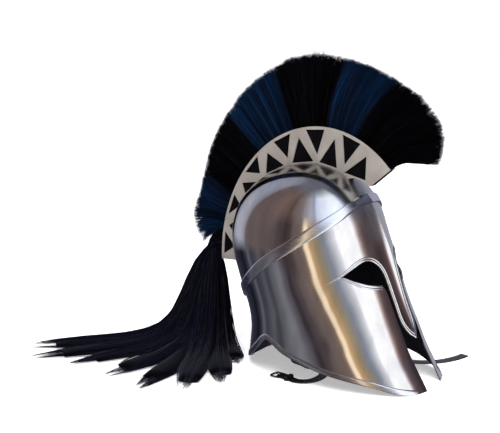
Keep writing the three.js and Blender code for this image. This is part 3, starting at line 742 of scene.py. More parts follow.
def black_japanned_iron(name, finish):
    """Small fittings of iron wire, baked black: dark and half glossy."""
    return patterned(
        name, (finish.iron, finish.iron_worn), (2.2, 3), (0.28, 0.42), None, None,
        {"Metallic": 0.8},
    )


def dyed_horsehair(name, dark, light, tip_tone, gloss):
    """Dyed horsehair: a few lighter strands and a long soft gloss, darkened toward the roots by
    painted shade.
    """
    material, tree = start_material(name)
    strand, along = (
        add_node(tree, "ShaderNodeAttribute", {"attribute_name": label}).outputs["Fac"]
        for label in ("strand", "along")
    )
    ramp = add_node(tree, "ShaderNodeValToRGB", {"Fac": strand})
    set_ramp(ramp, [(0.0, dark), (0.72, light), (1.0, tip_tone)])
    # Painted shade: each strand darkens toward its root, down to 0.45 of its tone at the root.
    depth = add_node(tree, "ShaderNodeMapRange", spread_over(along, 0.0, 0.75, 0.45, 1.0))
    root_shaded = add_node(tree, "ShaderNodeMix", {
        "data_type": "RGBA", "blend_type": "MULTIPLY", "Factor": 1.0, 6: ramp, 7: depth,
    })
    shine = spread_over(strand, 0.0, 1.0, gloss + 0.14, gloss)
    end_material(tree, {
        "Base Color": root_shaded.outputs[2],
        "Roughness": add_node(tree, "ShaderNodeMapRange", shine),
        "Specular IOR Level": 0.07,
    })
    return material


def black_horsehair(name, finish):
    """Stiff horsehair dyed black, clipped as a brush."""
    return dyed_horsehair(name, "000004", finish.black_hair, "0b0b17", 0.42)


def blue_horsehair(name, finish):
    """The same hair dyed a deep blue."""
    return dyed_horsehair(name, "020b18", finish.blue_hair, "0c3a60", 0.42)


def tail_horsehair(name, finish):
    """Long loose tail hair, combed and a little glossier."""
    return dyed_horsehair(name, "010109", "050718", "151b34", 0.34)


def finish_of(maker, finishes):
    """A finish made once and kept under its maker's name."""
    name = maker.__name__
    return bpy.data.materials.get(name) or maker(name, finishes)


def black_bridle_leather(name, finish):
    """Waxed cowhide strap: fine pores, low sheen, lighter in worn patches. The pores are
    drawn 0.9 mm apart, coarser than real ones, so that they show."""
    material = patterned(
        name, (finish.leather, finish.leather_worn), (7, 3), (0.24, 0.36), None, (0.12, 0.5), {},
    )
    tree = material.node_tree
    where = add_node(tree, "ShaderNodeTexCoord").outputs["Object"]
    pores = add_node(tree, "ShaderNodeTexVoronoi", {"Scale": 1 / (0.9 * MM), "Vector": where})
    relief = next(node for node in tree.nodes if node.type == "BUMP")
    tree.links.new(pores.outputs[0], relief.inputs["Height"])
    return material


# Stage

def make_room_light(strength):
    """What surrounds the helmet: seen in the steel, while the backdrop stays plain white."""
    world = bpy.data.worlds.new("studio_room")
    bpy.context.scene.world = world
    world.use_nodes = True
    tree = world.node_tree
    tree.nodes.clear()
    where = add_node(tree, "ShaderNodeTexCoord").outputs["Generated"]
    axes = add_node(tree, "ShaderNodeSeparateXYZ", {"Vector": where})
    facing = add_node(tree, "ShaderNodeMath", {
        "operation": "MULTIPLY", 0: axes.outputs[1], 1: -1.0,
    })
    turn = add_node(tree, "ShaderNodeMath", {"operation": "ARCTAN2", 0: axes, 1: facing})
    place = add_node(tree, "ShaderNodeMapRange", spread_over(turn, -math.pi, math.pi, 0, 1))
    layers = []
    for stops in (ROOM_FLOOR, ROOM_LOW, ROOM_HIGH):
        ramp = add_node(tree, "ShaderNodeValToRGB", {"Fac": place})
        ramp.color_ramp.interpolation = "EASE"
        layers.append(set_ramp(ramp, [((angle + 180) / 360, tone) for angle, tone in stops]))
    whole = layers[0]
    for above, levels in zip((*layers[1:], linear(ROOM_TOP)), ROOM_LEVELS):
        start, end = (math.sin(math.radians(level)) for level in levels)
        share = spread_over(axes.outputs[2], start, end, 0, 1)
        share = add_node(tree, "ShaderNodeMapRange", share)
        mixed = add_node(tree, "ShaderNodeMix", {"data_type": "RGBA", 0: share, 6: whole, 7: above})
        whole = mixed.outputs[2]
    seen = add_node(tree, "ShaderNodeBackground", {"Strength": strength, "Color": whole})
    plain = add_node(tree, "ShaderNodeBackground", {"Color": (1, 1, 1, 1), "Strength": 1.0})
    direct = add_node(tree, "ShaderNodeLightPath").outputs["Is Camera Ray"]
    both = add_node(tree, "ShaderNodeMixShader", {0: direct, 1: seen, 2: plain})
    add_node(tree, "ShaderNodeOutputWorld", {"Surface": both})


def aim_at(thing, direction):
    """Turns a camera or a lamp to look along a direction."""
    thing.rotation_mode = "QUATERNION"
    thing.rotation_quaternion = Vector(direction).to_track_quat("-Z", "Y")


def make_camera(lens):
    camera = scene_object("camera", bpy.data.cameras.new("camera"))
    camera.data.lens = lens / MM
    camera.data.sensor_width = 36.0
    camera.data.clip_start = 0.01
    camera.data.clip_end = 100.0
    camera.location = CAMERA_PLACE
    aim_at(camera, CAMERA_AIM)
    bpy.context.scene.camera = camera


def make_floor(reach, colour, glow):
    """White sheet lit faintly from below; the steel mirrors the room in its stead."""
    corners = [(-reach, -reach, 0), (reach, -reach, 0), (reach, reach, 0), (-reach, reach, 0)]
    floor = scene_object("floor", new_mesh("floor", corners, [(0, 1, 2, 3)]))
    material, tree = start_material("backlit_white_sheet")
    tone = linear(colour)
    end_material(tree, {
        "Base Color": tone, "Roughness": 0.9, "Specular IOR Level": 0.1,
        "Emission Color": tone, "Emission Strength": glow,
    })
    floor.data.materials.append(material)
    floor.visible_glossy = False


def make_soft_sun(name, aim, spread, strength):
    """Even light from one side, as from a large window; the steel doesn't mirror it."""
    lamp = bpy.data.lights.new(name, "SUN")
    lamp.energy = strength
    lamp.angle = math.radians(spread)
    sun = scene_object(name, lamp)
    aim_at(sun, aim)
    sun.visible_glossy = False


# Helmet shell

def round_body(offset, sizes):
    """Closed round body, its rings from below the cheeks to the dome's top."""
    low = WALL_ROWS[0][0] * DOME_TOP
    walls = np.linspace(low, BROW_LEVEL, sizes.wall_rings, endpoint=False)
    rise = np.sin(np.linspace(0, math.pi / 2, sizes.dome_rings, endpoint=False))
    dome = BROW_LEVEL + (DOME_TOP + offset - BROW_LEVEL) * rise ** (2 / DOME_ROUNDNESS)
    heights = np.r_[walls, dome]
    turns = np.linspace(0, 2 * math.pi, sizes.ring_points, endpoint=False)
    rings = body_points(heights[:, None], turns[None, :], offset)
    points, faces = tube(rings, capped=False)
    count = sizes.ring_points
    last = (len(heights) - 1) * count
    points = np.vstack([points, [0, 0, DOME_TOP + offset]])
    faces += [(last + i, last + (i + 1) % count, len(points) - 1) for i in range(count)]
    faces.append(tuple(range(count - 1, -1, -1)))
    return points, faces


def face_outline():
    """Closed outline of the face opening, from the front."""
    upper = through(EYE_TOP_OUTLINE, 90)
    lower = through(EYE_BOTTOM_OUTLINE, 90)
    half = np.vstack([upper, lower[1:]])
    mirrored = half[1:][::-1] * (-1, 1)
    return np.vstack([mirrored, half])


def lower_edge():
    """Smooth lower edge, from the side."""
    inner = through(LOWER_EDGE[1:-1], 160)
    return np.vstack([LOWER_EDGE[:1], inner, LOWER_EDGE[-1:]])


def cut_shell(sizes):
    """The shell's sheet: body less its hollow, the face opening and what is below its edge."""
    shell = cutter(*round_body(0, sizes))
    far = CUTTER_REACH
    y, z = np.array([(-far, -far / 2), (far, -far / 2), (far, 0), (-far, 0)]).T
    z = z + FLOOR_SINK
    floor = np.stack([
        y * math.cos(TIP_BACK) - z * math.sin(TIP_BACK) - FLOOR_SHIFT,
        y * math.sin(TIP_BACK) + z * math.cos(TIP_BACK),
    ], 1)
    cutters = (
        cutter(*round_body(-sizes.sheet / MM, sizes)),
        prism(face_outline(), 1, -far, OPENING_DEPTH),
        prism(np.vstack([lower_edge(), [(-far, -far), (far, -far)]]), 0, -far, far),
        prism(floor, 0, -far, far),
    )
    for tool in cutters:
        cut = shell.modifiers.new("cut", "BOOLEAN")
        cut.operation = "DIFFERENCE"
        cut.solver = sizes.solver
        cut.object = tool
    seen = shell.evaluated_get(bpy.context.evaluated_depsgraph_get())
    mesh = bpy.data.meshes.new_from_object(seen)
    for tool in (shell, *cutters):
        bpy.data.objects.remove(tool)
    if len(mesh.polygons) < sizes.ring_points:
        raise RuntimeError("the shell's cuts left nothing")
    return mesh


def read_all(items, field, width=1, kind=float):
    """One field of all of a mesh's vertices, corners or faces."""
    values = np.empty(len(items) * width, kind)
    items.foreach_get(field, values)
    return values.reshape(-1, width) if width > 1 else values


def shell_normals(mesh, sheet):
    """Corner normals from the true surface, so that the mirror shows no facets, and which
    faces are the inner side of the sheet."""
    corners = read_all(mesh.vertices, "co", 3)[read_all(mesh.loops, "vertex_index", 1, int)]
    flat = read_all(mesh.polygons, "normal", 3)
    sizes = read_all(mesh.polygons, "loop_total", 1, int)
    owner = np.repeat(np.arange(len(sizes)), sizes)
    centre = np.zeros_like(flat)
    np.add.at(centre, owner, corners)
    centre /= sizes[:, None]
    sample = corners + unit(centre[owner] - corners) * FACE_INSET
    normals = flat[owner].copy()
    for offset, sign in ((0.0, 1), (-sheet, -1)):
        slope = unit(body_slope(centre, offset)) * sign
        near = np.abs(body_depth(centre, offset)) < SHEET_NEAR
        on_sheet = near & ((slope * flat).sum(1) > 0.9)
        chosen = on_sheet[owner]
        normals[chosen] = unit(body_slope(sample[chosen], offset)) * sign
    return normals, on_sheet


def make_shell(sizes, finishes):
    mesh = cut_shell(sizes)
    normals, inner = shell_normals(mesh, sizes.sheet / MM)
    mesh.vertices.foreach_set("co", seat(read_all(mesh.vertices, "co", 3)).ravel())
    mesh.update()
    mesh.name = "shell_sheet"
    mesh.materials.clear()
    # The inner faces take the blackened steel whose near-black tone is partly painted shade.
    for maker in (mirror_polished_steel, blackened_steel_and_inside_shade):
        mesh.materials.append(finish_of(maker, finishes))
    mesh.polygons.foreach_set("material_index", inner.astype(int))
    mesh.shade_smooth()
    mesh.normals_split_custom_set(tip(normals).tolist())
    dressed("shell_sheet", mesh, ["helmet_shell"])


def raised_strip(path, section, inward, size=1.0):
    """Rings of a raised edge on the sheet; inward points from the edge onto the metal."""
    normal = unit(body_slope(path, 0.0))
    forward = unit(np.gradient(path, axis=0))
    side = unit(np.cross(normal, forward))
    side *= np.sign((side * inward).sum(-1))[:, None]
    size = np.broadcast_to(size, len(path))[:, None]
    rings = []
    for across, height in section:
        foot = onto_body(path + side * size * max(across, 0.0), 0.0)
        out = unit(body_slope(foot, 0.0))
        rings.append(foot + out * size * height + side * size * min(across, 0.0))
    return np.stack(rings, 1)


def make_rims(finishes):
    """Rolled rim of the eyes and nose guard, and the border of the lower edge."""
    steel = finish_of(buffed_steel_edge, finishes)
    upper = through((*EYE_TOP_OUTLINE, SPUR_TIP), RIM_STEPS)
    lower = through((SPUR_TIP, *EYE_BOTTOM_OUTLINE), RIM_STEPS)
    lower = lower[lower[:, 1] > RIM_END_HEIGHT]
    for sign, side in ((-1, "right"), (1, "left")):
        for part, outline in (("eye_top", upper), ("eye_bottom", lower)):
            flat = outline * (sign, 1)
            path = front_point(flat[:, 0], flat[:, 1])
            away = path - np.array(RIM_MIDDLE) * (sign, 1, 1)
            if part == "eye_top":
                away = rim_away(path, sign)
            reach = np.linalg.norm(outline - SPUR_TIP, axis=1) / SPUR_TAPER
            size = SPUR_THIN + (1 - SPUR_THIN) * np.clip(reach, 0, 1)
            points, faces = tube(raised_strip(path, EYE_RIM_SECTION, away, size))
            name = f"rim_{side}_{part}"
            make_piece(name, seat(points), faces, steel, "mirror_steel", sharp=50)
    edge = lower_edge()[1:-1]
    path = side_point(edge[:, 0], edge[:, 1])
    path = path[np.abs(path[:, 0]) > 0.5]
    up = np.tile(BORDER_UP, (len(path), 1))
    for sign, side in ((1, "right"), (-1, "left")):
        points, faces = tube(raised_strip(path * (sign, 1, 1), BORDER_SECTION, up))
        points = seat(points)
        points[:, 2] = np.maximum(points[:, 2], 0.0)
        make_piece(f"border_{side}", points, faces, steel, "mirror_steel", sharp=40)


def rim_away(path, sign):
    """Direction onto the metal from the nose guard's edge and the top of the eye."""
    away = path - np.array(SOCKET_MIDDLE) * (sign, 1, 1)
    away[path[:, 2] < NASAL_HEIGHT] = (-sign, 0, 0)
    away[:, 2] += np.where(path[:, 2] < NASAL_TIP_HEIGHT, 0.6, 0.0)
    return away


def make_band(sizes, finishes):
    """Brow band swept round the helmet, with eased edges."""
    turns = np.linspace(0, 2 * math.pi, sizes.ring_points, endpoint=False)
    rings = []
    for rise, out in BAND_SECTION:
        height = np.full_like(turns, BROW_LEVEL + rise)
        for _ in range(BAND_ROUNDS):
            place = body_points(height, turns, out)[:, 1] / HALF_DEPTH
            middle = read_table(BAND, "place", "height", place) * DOME_TOP
            height = 0.5 * (height + middle + rise)
        rings.append(body_points(height, turns, out))
    rings = np.stack(rings, 1)
    points, faces = tube(np.vstack([rings, rings[:1]]), capped=False)
    steel = finish_of(satin_band_steel, finishes)
    make_piece(
        "brow_band_strip", seat(points), faces, steel, "mirror_steel", ["brow_band"], sharp=40,
    )


# Crest

def arc_point(angle, outward):
    """Place on the crest's arc, moved out along its normal; (y, z) upright."""
    turn = np.radians(angle)
    nu = CREST_LONG * np.cos(turn)
    nv = CREST_SHORT * np.sin(turn)
    size = np.hypot(nu, nv)
    a = CREST_SHORT * np.cos(turn) + outward * nu / size
    b = CREST_LONG * np.sin(turn) + outward * nv / size
    return np.stack([
        CREST_CENTRE[0] + a * math.cos(CREST_LEAN) - b * math.sin(CREST_LEAN),
        CREST_CENTRE[1] + a * math.sin(CREST_LEAN) + b * math.cos(CREST_LEAN),
    ], -1)


def eased_copy(node, name, finish):
    """A flat pierced part with its sharp edges eased by a file."""
    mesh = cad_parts[node].data.copy()
    work = bmesh.new()
    work.from_mesh(mesh)
    bmesh.ops.remove_doubles(work, verts=work.verts, dist=MM * MM)
    bmesh.ops.dissolve_limit(
        work, angle_limit=math.radians(0.5), verts=work.verts, edges=work.edges,
    )
    limit = math.radians(EDGE_SHARP)
    sharp = [e for e in work.edges if e.is_manifold and e.calc_face_angle(0) > limit]
    bmesh.ops.bevel(
        work, geom=sharp, offset=EDGE_EASE * MM, segments=2, profile=0.5, affect="EDGES",
        clamp_overlap=True,
    )
    for face in work.faces:
        face.smooth = True
    for e in work.edges:
        e.smooth = e.is_manifold and e.calc_face_angle(0) < math.radians(30)
    work.to_mesh(mesh)
    work.free()
    mesh.materials.clear()
    mesh.materials.append(finish)
    dressed(name, mesh, [node])


# Hair

def strand_mesh(name, paths, width, random, finish, shade, replaced, slot_name, backing):
    """Tapered strips of hair along paths (strand, step, xyz) in metres, over a backing."""
    strands, steps = paths.shape[:2]
    forward = unit(np.gradient(paths, axis=1))
    lean = unit(random.normal(size=(strands, 1, 3)) * STRAND_LEAN)
    across = unit(np.cross(forward, np.broadcast_to(lean, forward.shape)))
    along = np.linspace(0, 1, steps)
    spread = across * (width * (1 - STRAND_TAPER * along**3) / 2)[None, :, None]
    strips = np.stack([paths - spread, paths + spread], 2).reshape(-1, 3)
    base = ((np.arange(strands)[:, None] * steps + np.arange(steps - 1)) * 2).ravel()
    quads = np.stack([base, base + 1, base + 3, base + 2], 1).tolist()
    points, faces = joined((strips, quads), backing)
    under = len(backing[0])
    tone = np.r_[np.repeat(shade, steps * 2), np.zeros(under)]
    # What lies under the strands sits near the root end of the painted root shade, so it is drawn
    # dark.
    place = np.r_[np.tile(np.repeat(along, 2), strands), np.full(under, BACKING_SHADE_PLACE)]
    piece = make_piece(name, points, faces, finish, slot_name, replaced)
    for label, values in (("strand", tone), ("along", place)):
        layer = piece.data.attributes.new(label, "FLOAT", "POINT")
        layer.data.foreach_set("value", values.astype(np.float32))
    return piece


def brush_backing(first, last):
    """Solid inside a band of the brush, so that no light shows through, darkened by the hair's
    painted root shade.
    """
    rings = []
    for angle in np.linspace(first + 0.3, last - 0.3, 9):
        length = read_table(BRUSH, "angle", "length", angle) - BRUSH_COVER
        turn = math.radians(read_table(BRUSH, "angle", "direction", angle))
        root = arc_point(angle, 0.0)
        bend = arc_point(angle, length * STRAND_BEND)
        end = root + np.array([math.cos(turn), math.sin(turn)]) * length
        ring = [(half, *bent(root, bend, end, max(share, 0))) for share, half in BRUSH_BACKING]
        ring += [(-half, y, z) for half, y, z in reversed(ring)]
        rings.append(ring)
    points, faces = tube(np.array(rings))
    return seat(points), faces


def make_brush_band(name, first, last, dye, hair, finish, random):
    """One dyed band of the brush, in tufts whose tips draw together."""
    count = hair.strands
    tufts = max(int((last - first) * hair.tufts_per_degree), 8)
    tuft = random.integers(0, tufts, count)
    tuft_angle = random.uniform(first, last, tufts)
    tuft_side = random.uniform(-1, 1, tufts)
    tuft_reach = random.normal(0, TUFT_RAGGED, tufts)
    tuft_tone = random.uniform(0, 1, tufts)
    side = random.uniform(-1, 1, count)
    angle = random.uniform(first, last, count)
    apart = np.abs(angle[:, None] - tuft_angle) / 3 + np.abs(side[:, None] - tuft_side)
    near = np.argsort(apart, axis=1)[:, 0]
    tuft = np.where(random.uniform(size=count) < TUFT_SHARE, near, tuft)
    tip_angle = np.clip(angle + (tuft_angle[tuft] - angle) * TUFT_PULL, first, last)
    tip_angle += random.normal(0, 0.5, count)
    tip_side = side + (tuft_side[tuft] - side) * TUFT_PULL
    length = read_table(BRUSH, "angle", "length", tip_angle)
    ragged = 0.975 + tuft_reach[tuft] + random.normal(0, STRAND_RAGGED, count)
    ragged -= 0.1 * np.abs(tip_side) ** 3
    length = length * np.clip(ragged, 0.7, 1.03)
    turn = np.radians(read_table(BRUSH, "angle", "direction", tip_angle))
    root = arc_point(angle, -3.0)
    bend = arc_point(angle * 0.5 + tip_angle * 0.5, length * STRAND_BEND)
    end = arc_point(tip_angle, 0.0) + np.stack([np.cos(turn), np.sin(turn)], 1) * length[:, None]
    t = np.linspace(0, 1, hair.brush_steps)[None, :, None]
    line = bent(root[:, None], bend[:, None], end[:, None], t)
    line += random.normal(0, BRUSH_SWAY, (count, 1, 2)) * np.sin(t * math.pi * 1.4) * t
    t = t[..., 0]
    half = BRUSH_ROOT_HALF - 0.6 + (BRUSH_TIP_HALF - BRUSH_ROOT_HALF) * t
    across = side[:, None] * (1 - t) + tip_side[:, None] * t
    x = across * half + random.normal(0, 0.5, (count, 1)) * t
    paths = seat(np.concatenate([x[..., None], line], -1))
    shade = np.clip(0.65 * tuft_tone[tuft] + 0.5 * random.uniform(size=count) - 0.1, 0, 1)
    strand_mesh(
        f"{name}_hair", paths, hair.width, random, finish, shade, [name], f"hair_{dye}",
        brush_backing(first, last),
    )


def lock_line(end, steps):
    """A tail lock's middle line, side and up directions and half sizes, in millimetres."""
    way = np.linspace(0, 1, steps) ** LOCK_EASE
    start = np.array(TAIL_ROOT)
    plan = start + (np.array(end, float) - start) * way[:, None]
    rise, wide, thick = (read_table(LOCK, "way", name, way) for name in LOCK_COLUMNS[1:])
    line = np.column_stack([plan, rise])
    side = np.array([-(end[1] - TAIL_ROOT[1]), end[0] - TAIL_ROOT[0], 0.0])
    side /= np.linalg.norm(side)
    up = unit(np.cross(side, unit(np.gradient(line, axis=0))))
    up *= np.sign(up[:, 2:] + 1e-9)
    return line, side, up, wide, thick


def tail_backing():
    """Slimmer locks under the strands, so that the tail is closed, darkened by the hair's painted
    root shade.
    """
    locks = []
    for end in TAIL_ENDS:
        line, side, up, wide, thick = lock_line(end, 22)
        rings = rings_round(line, side, up, 0.72 * wide, 0.7 * thick, 10)[:-2]
        rings[..., 2] = np.maximum(rings[..., 2], BACKING_FLOOR)
        locks.append(tube(rings))
    points, faces = joined(*locks)
    return rest(points), faces


def lock_strands(end, hair, random):
    """Strands of one lock in wisps, from the head of the tail to their cut ends."""
    steps = hair.tail_steps
    line, side, up, wide, thick = lock_line(end, steps)
    count = hair.tail_strands // (len(TAIL_ENDS) * hair.wisps)
    t = np.linspace(0, 1, steps)
    tip_pull = TIP_PULL * np.clip((t - TIP_START) / TIP_RUN, 0, 1) ** 1.5
    paths, shades = [], []
    for _ in range(hair.wisps):
        turn = random.uniform(0, 2 * math.pi)
        wisp = np.array([math.cos(turn), math.sin(turn)]) * math.sqrt(random.uniform(0.02, 0.9))
        own = wisp + random.normal(0, WISP_SPREAD, (count, 2))
        own /= np.maximum(np.linalg.norm(own, axis=1, keepdims=True), 1.0)
        cut = np.clip(random.uniform(0.84, 1.0) + random.normal(0, 0.02, count), 0.7, 1.0)
        at = t[None, :] * cut[:, None]
        where = own[:, None, :] * (1 - tip_pull)[None, :, None]
        where = where + wisp * tip_pull[None, :, None]
        wave = random.uniform(0, 2 * math.pi, (count, 1))
        sway = (np.sin(at * 9 + wave) * 0.05 + np.sin(at * 5 + turn) * 0.1) * np.clip(4 * at, 0, 1)
        spots = np.empty((count, steps, 3))
        for k in range(3):
            spread = np.interp(at, t, wide) * (where[..., 0] + sway) * side[k]
            lift = np.interp(at, t, thick) * where[..., 1] * np.interp(at, t, up[:, k])
            spots[..., k] = np.interp(at, t, line[:, k]) + spread + lift
        floor = TAIL_FLOOR + 2.2 * random.uniform(0, 1, (count, 1))
        spots[..., 2] = np.maximum(spots[..., 2], floor)
        paths.append(rest(spots))
        shades.append(np.clip(random.uniform(0, 0.8) + random.normal(0, 0.15, count), 0, 1))
    return np.concatenate(paths), np.concatenate(shades)


def make_tail(hair, finish, random):
    """Tail of loose hair: it springs from the holder's end, falls and fans out on the floor."""
    made = [lock_strands(end, hair, random) for end in TAIL_ENDS]
    paths, shades = (np.concatenate(parts) for parts in zip(*made))
    count = len(paths)
    order = np.argsort(np.argsort(paths[:, 0, 1] + random.normal(0, 2 * MM, count)))
    angle = TAIL_HEAD_ANGLES[0] + order / count * (TAIL_HEAD_ANGLES[1] - TAIL_HEAD_ANGLES[0])
    y, z = arc_point(angle, -2.0).T
    root = seat(np.stack([random.uniform(-5.2, 5.2, count), y, z], 1))
    bend = 0.5 * (root + paths[:, 0])
    bend[:, 1] += TAIL_SPRING * MM
    bend[:, 2] += TAIL_SPRING * MM * np.linspace(0.3, 1.2, count)[order]
    t = np.linspace(0, 1, TAIL_HEAD_STEPS, endpoint=False)[None, :, None]
    head = bent(root[:, None], bend[:, None], paths[:, :1], t)
    tail = strand_mesh(
        "tail_hair", np.concatenate([head, paths], 1), hair.tail_width, random, finish, shades,
        ["plume_tail"], "hair_black", tail_backing(),
    )
    tail.visible_glossy = False


# Straps and fittings

def strap_side(middle, forward):
    """Across direction of the strap: level on the floor, fore and aft on the wall."""
    flat = unit(np.stack([-forward[:, 1], forward[:, 0], np.zeros(len(forward))], 1))
    share = np.clip((middle[:, 2] - STRAP_LEVEL) / STRAP_TURN, 0, 1)
    share = (share * share * (3 - 2 * share))[:, None]
    upright = np.zeros_like(flat)
    upright[:, 1] = np.where(flat[:, 1] < 0, -1, 1)
    side = flat * (1 - share) + upright * share
    return unit(side - forward * (side * forward).sum(1, keepdims=True))


def make_strap(name, node, route, steps, width, thickness, finish):
    """A flat strip with rounded edges along a route, and its middle line."""
    middle = through(np.array(route) - (0, NECK_REST * MM, 0), steps)
    forward = unit(np.gradient(middle, axis=0))
    side = strap_side(middle, forward)
    up = unit(np.cross(forward, side))
    ease = thickness * EDGE_ROUND
    half_w, half_t = width / 2, thickness / 2
    section = []
    for sx, sz in ((1, 1), (-1, 1), (-1, -1), (1, -1)):
        corner = [(half_w - ease * EDGE_ROUND, half_t), (half_w, half_t - ease)]
        corner = corner if sx * sz < 0 else corner[::-1]
        section += [(sx * a, sz * b) for a, b in corner]
    rings = np.stack([middle + side * a + up * b for a, b in section], 1)
    piece = make_piece(name, *tube(rings), finish, "leather_black", [node], sharp=35)
    return piece, middle


def wire_loop(path, radius, sides=10):
    """A closed loop of round wire."""
    forward = unit(np.roll(path, -1, axis=0) - np.roll(path, 1, axis=0))
    up = np.array([0.0, 0.0, 1.0])
    rings = rings_round(path, unit(np.cross(forward, up)), up, radius, radius, sides)
    return tube(np.vstack([rings, rings[:1]]), capped=False)


def rounded_frame(width, length, corner, steps=5):
    """Closed outline of a rectangle with round corners."""
    points = []
    for sx, sy, quarter in ((1, 1, 0), (-1, 1, 1), (-1, -1, 2), (1, -1, 3)):
        for turn in np.linspace(quarter, quarter + 1, steps) * math.pi / 2:
            points.append((
                sx * (width / 2 - corner) + corner * math.cos(turn),
                sy * (length / 2 - corner) + corner * math.sin(turn),
            ))
    return np.array(points)


def turned(points, centre, degrees):
    """Points turned about the upright axis and moved to a centre."""
    c, s = math.cos(math.radians(degrees)), math.sin(math.radians(degrees))
    x, y, z = np.moveaxis(np.asarray(points, float), -1, 0)
    return np.stack([x * c - y * s, x * s + y * c, z], -1) + centre


def make_buckle(finish):
    """Wire frame with its prong lying across it."""
    outline = rounded_frame(*BUCKLE_FRAME)
    wire = wire_loop(np.column_stack([outline, np.zeros(len(outline))]), WIRE_RADIUS)
    y = np.linspace(*PRONG_ENDS, 12)
    line = np.stack([np.zeros_like(y), y, 1.25 - 0.012 * (y - 1) ** 2], 1)
    prong = tube(rings_round(line, np.eye(3)[0], np.eye(3)[2], *PRONG_HALF, 8))
    points, faces = joined(wire, prong)
    points = rest(turned(points, BUCKLE_CENTRE, BUCKLE_TURN))
    points[:, 2] = np.maximum(points[:, 2], 0.2 * MM)
    return make_piece(
        "buckle", points, faces, finish, "buckle_black", ["strap_buckle_right"], sharp=45,
    )


def make_keeper(straps, finish):
    """Leather loop that holds the strap's fold."""
    width = straps.width / MM + KEEPER_ROOM[0]
    height = 2 * straps.thickness / MM + KEEPER_ROOM[1]
    rings = []
    for y, inset, corner in KEEPER_RINGS:
        outline = rounded_frame(width - 2 * inset, height - 2 * inset, corner)
        rings.append(np.column_stack([outline[:, 0], np.full(len(outline), y), outline[:, 1]]))
    points, faces = tube(np.stack([*rings, rings[0]]), capped=False)
    points = rest(turned(points, KEEPER_CENTRE, KEEPER_TURN))
    return make_piece(
        "keeper_loop", points, faces, finish, "leather_black", ["strap_keeper_right"], sharp=40,
    )


def make_rivet(sign, name, node, finish):
    """Domed rivet head on the strap's end."""
    turn = np.linspace(0, 2 * math.pi, 28, endpoint=False)
    rings = []
    for radius, out in RIVET_RINGS:
        rings.append(np.stack([
            np.full_like(turn, sign * (RIVET_PLACE[0] + out)),
            RIVET_PLACE[1] + radius * np.cos(turn),
            RIVET_PLACE[2] + radius * np.sin(turn),
        ], 1))
    points, faces = tube(np.stack(rings))
    make_piece(name, rest(points), faces, finish, "mirror_steel", [node], sharp=45)


def a_length(name, description, default):
    return bpy.props.FloatProperty(
        name=name, description=description, default=default, unit="LENGTH",
    )


def a_count(name, description, default, least=0):
    return bpy.props.IntProperty(name=name, description=description, default=default, min=least)


def an_amount(name, description, default, least=0.0, most=100.0):
    return bpy.props.FloatProperty(
        name=name, description=description, default=default, min=least, max=most,
    )


def a_colour(name, what, default):
    return bpy.props.StringProperty(
        name=name, description=f"sRGB hex of {what}", default=default,
    )


def a_group(kind, name, description):
    return bpy.props.PointerProperty(type=kind, name=name, description=description)


# Settings

class HelmetSizes(bpy.types.PropertyGroup):
    sheet: a_length("Sheet", "Thickness of the steel", 1.5 * MM)
    ring_points: a_count("Points round", "Points round the body", 216, 48)
    wall_rings: a_count("Wall rings", "Rings from the cheeks to the brow", 92, 12)
    dome_rings: a_count("Dome rings", "Rings from the brow to the top", 48, 8)
    solver: bpy.props.StringProperty(
        name="Cutting", description="Way in which the shell is cut", default="MANIFOLD",
    )


class HairSizes(bpy.types.PropertyGroup):
    strands: a_count("Strands", "Strands in a band of the brush", 5600, 100)
    brush_steps: a_count("Brush steps", "Points along a brush strand", 8, 3)
    tufts_per_degree: an_amount("Tufts", "Tufts for each degree of the arc", 3.2, 0.5)
    width: a_length("Width", "Width of a brush strand", 0.7 * MM)
    tail_strands: a_count("Tail strands", "Strands in the tail", 6400, 100)
    tail_steps: a_count("Tail steps", "Points along a tail strand", 12, 6)
    tail_width: a_length("Tail width", "Width of a tail strand", 1.0 * MM)
    wisps: a_count("Wisps", "Wisps in a lock of the tail", 12, 1)
    seed: a_count("Seed", "Number that places the strands", 7)


class StrapSizes(bpy.types.PropertyGroup):
    width: a_length("Width", "Width of the chin strap", 12 * MM)
    thickness: a_length("Thickness", "Thickness of the strap", 1.6 * MM)


class StageSizes(bpy.types.PropertyGroup):
    lens: a_length("Lens", "Focal length for a 36 mm sensor", 70.54 * MM)
    floor_reach: a_length("Floor", "Half side of the floor", 14.0)
    floor_colour: a_colour("Floor colour", "the floor", "f4f4f4")
    floor_glow: an_amount("Floor glow", "Light that comes up through the floor", 0.45)
    room: an_amount("Room", "Brightness of the mirrored room", 1.75)
    key: an_amount("Key", "Strength of the light from the window", 2.0)
    fill: an_amount("Fill", "Strength of the light from the ceiling", 1.6)


class HelmetFinishes(bpy.types.PropertyGroup):
    steel: a_colour("Steel", "the polished steel", "cfcfd1")
    steel_shade: a_colour("Steel shade", "its smears", "bcbbbd")
    polish: an_amount("Polish", "Roughness of the polish", 0.05, 0.0, 1.0)
    edge_steel: a_colour("Edges", "the raised edges", "d8d8dc")
    band: a_colour("Band", "the brow band", "d6d9e0")
    band_shade: a_colour("Band shade", "the band's grain", "c6c9d0")
    plate: a_colour("Plates", "the crest plates", "cdc8c0")
    plate_shade: a_colour("Plate shade", "their clouding", "bdb7af")
    # The inside's near-black bluish tones are partly painted shade for the inside of the helmet.
    inside: a_colour("Inside", "the blackened inside", "07071a")
    inside_light: a_colour("Inside worn", "its thin places", "0c0c20")
    core: a_colour("Core", "the holder's core", "060508")
    core_light: a_colour("Core grain", "its grain", "0d0b10")
    black_hair: a_colour("Black hair", "the black strands", "030309")
    blue_hair: a_colour("Blue hair", "the blue strands", "041d3c")
    leather: a_colour("Leather", "the strap", "09090c")
    leather_worn: a_colour("Leather worn", "its worn places", "18181c")
    iron: a_colour("Iron", "the buckle", "1c1d20")
    iron_worn: a_colour("Iron worn", "its worn places", "3a3b40")


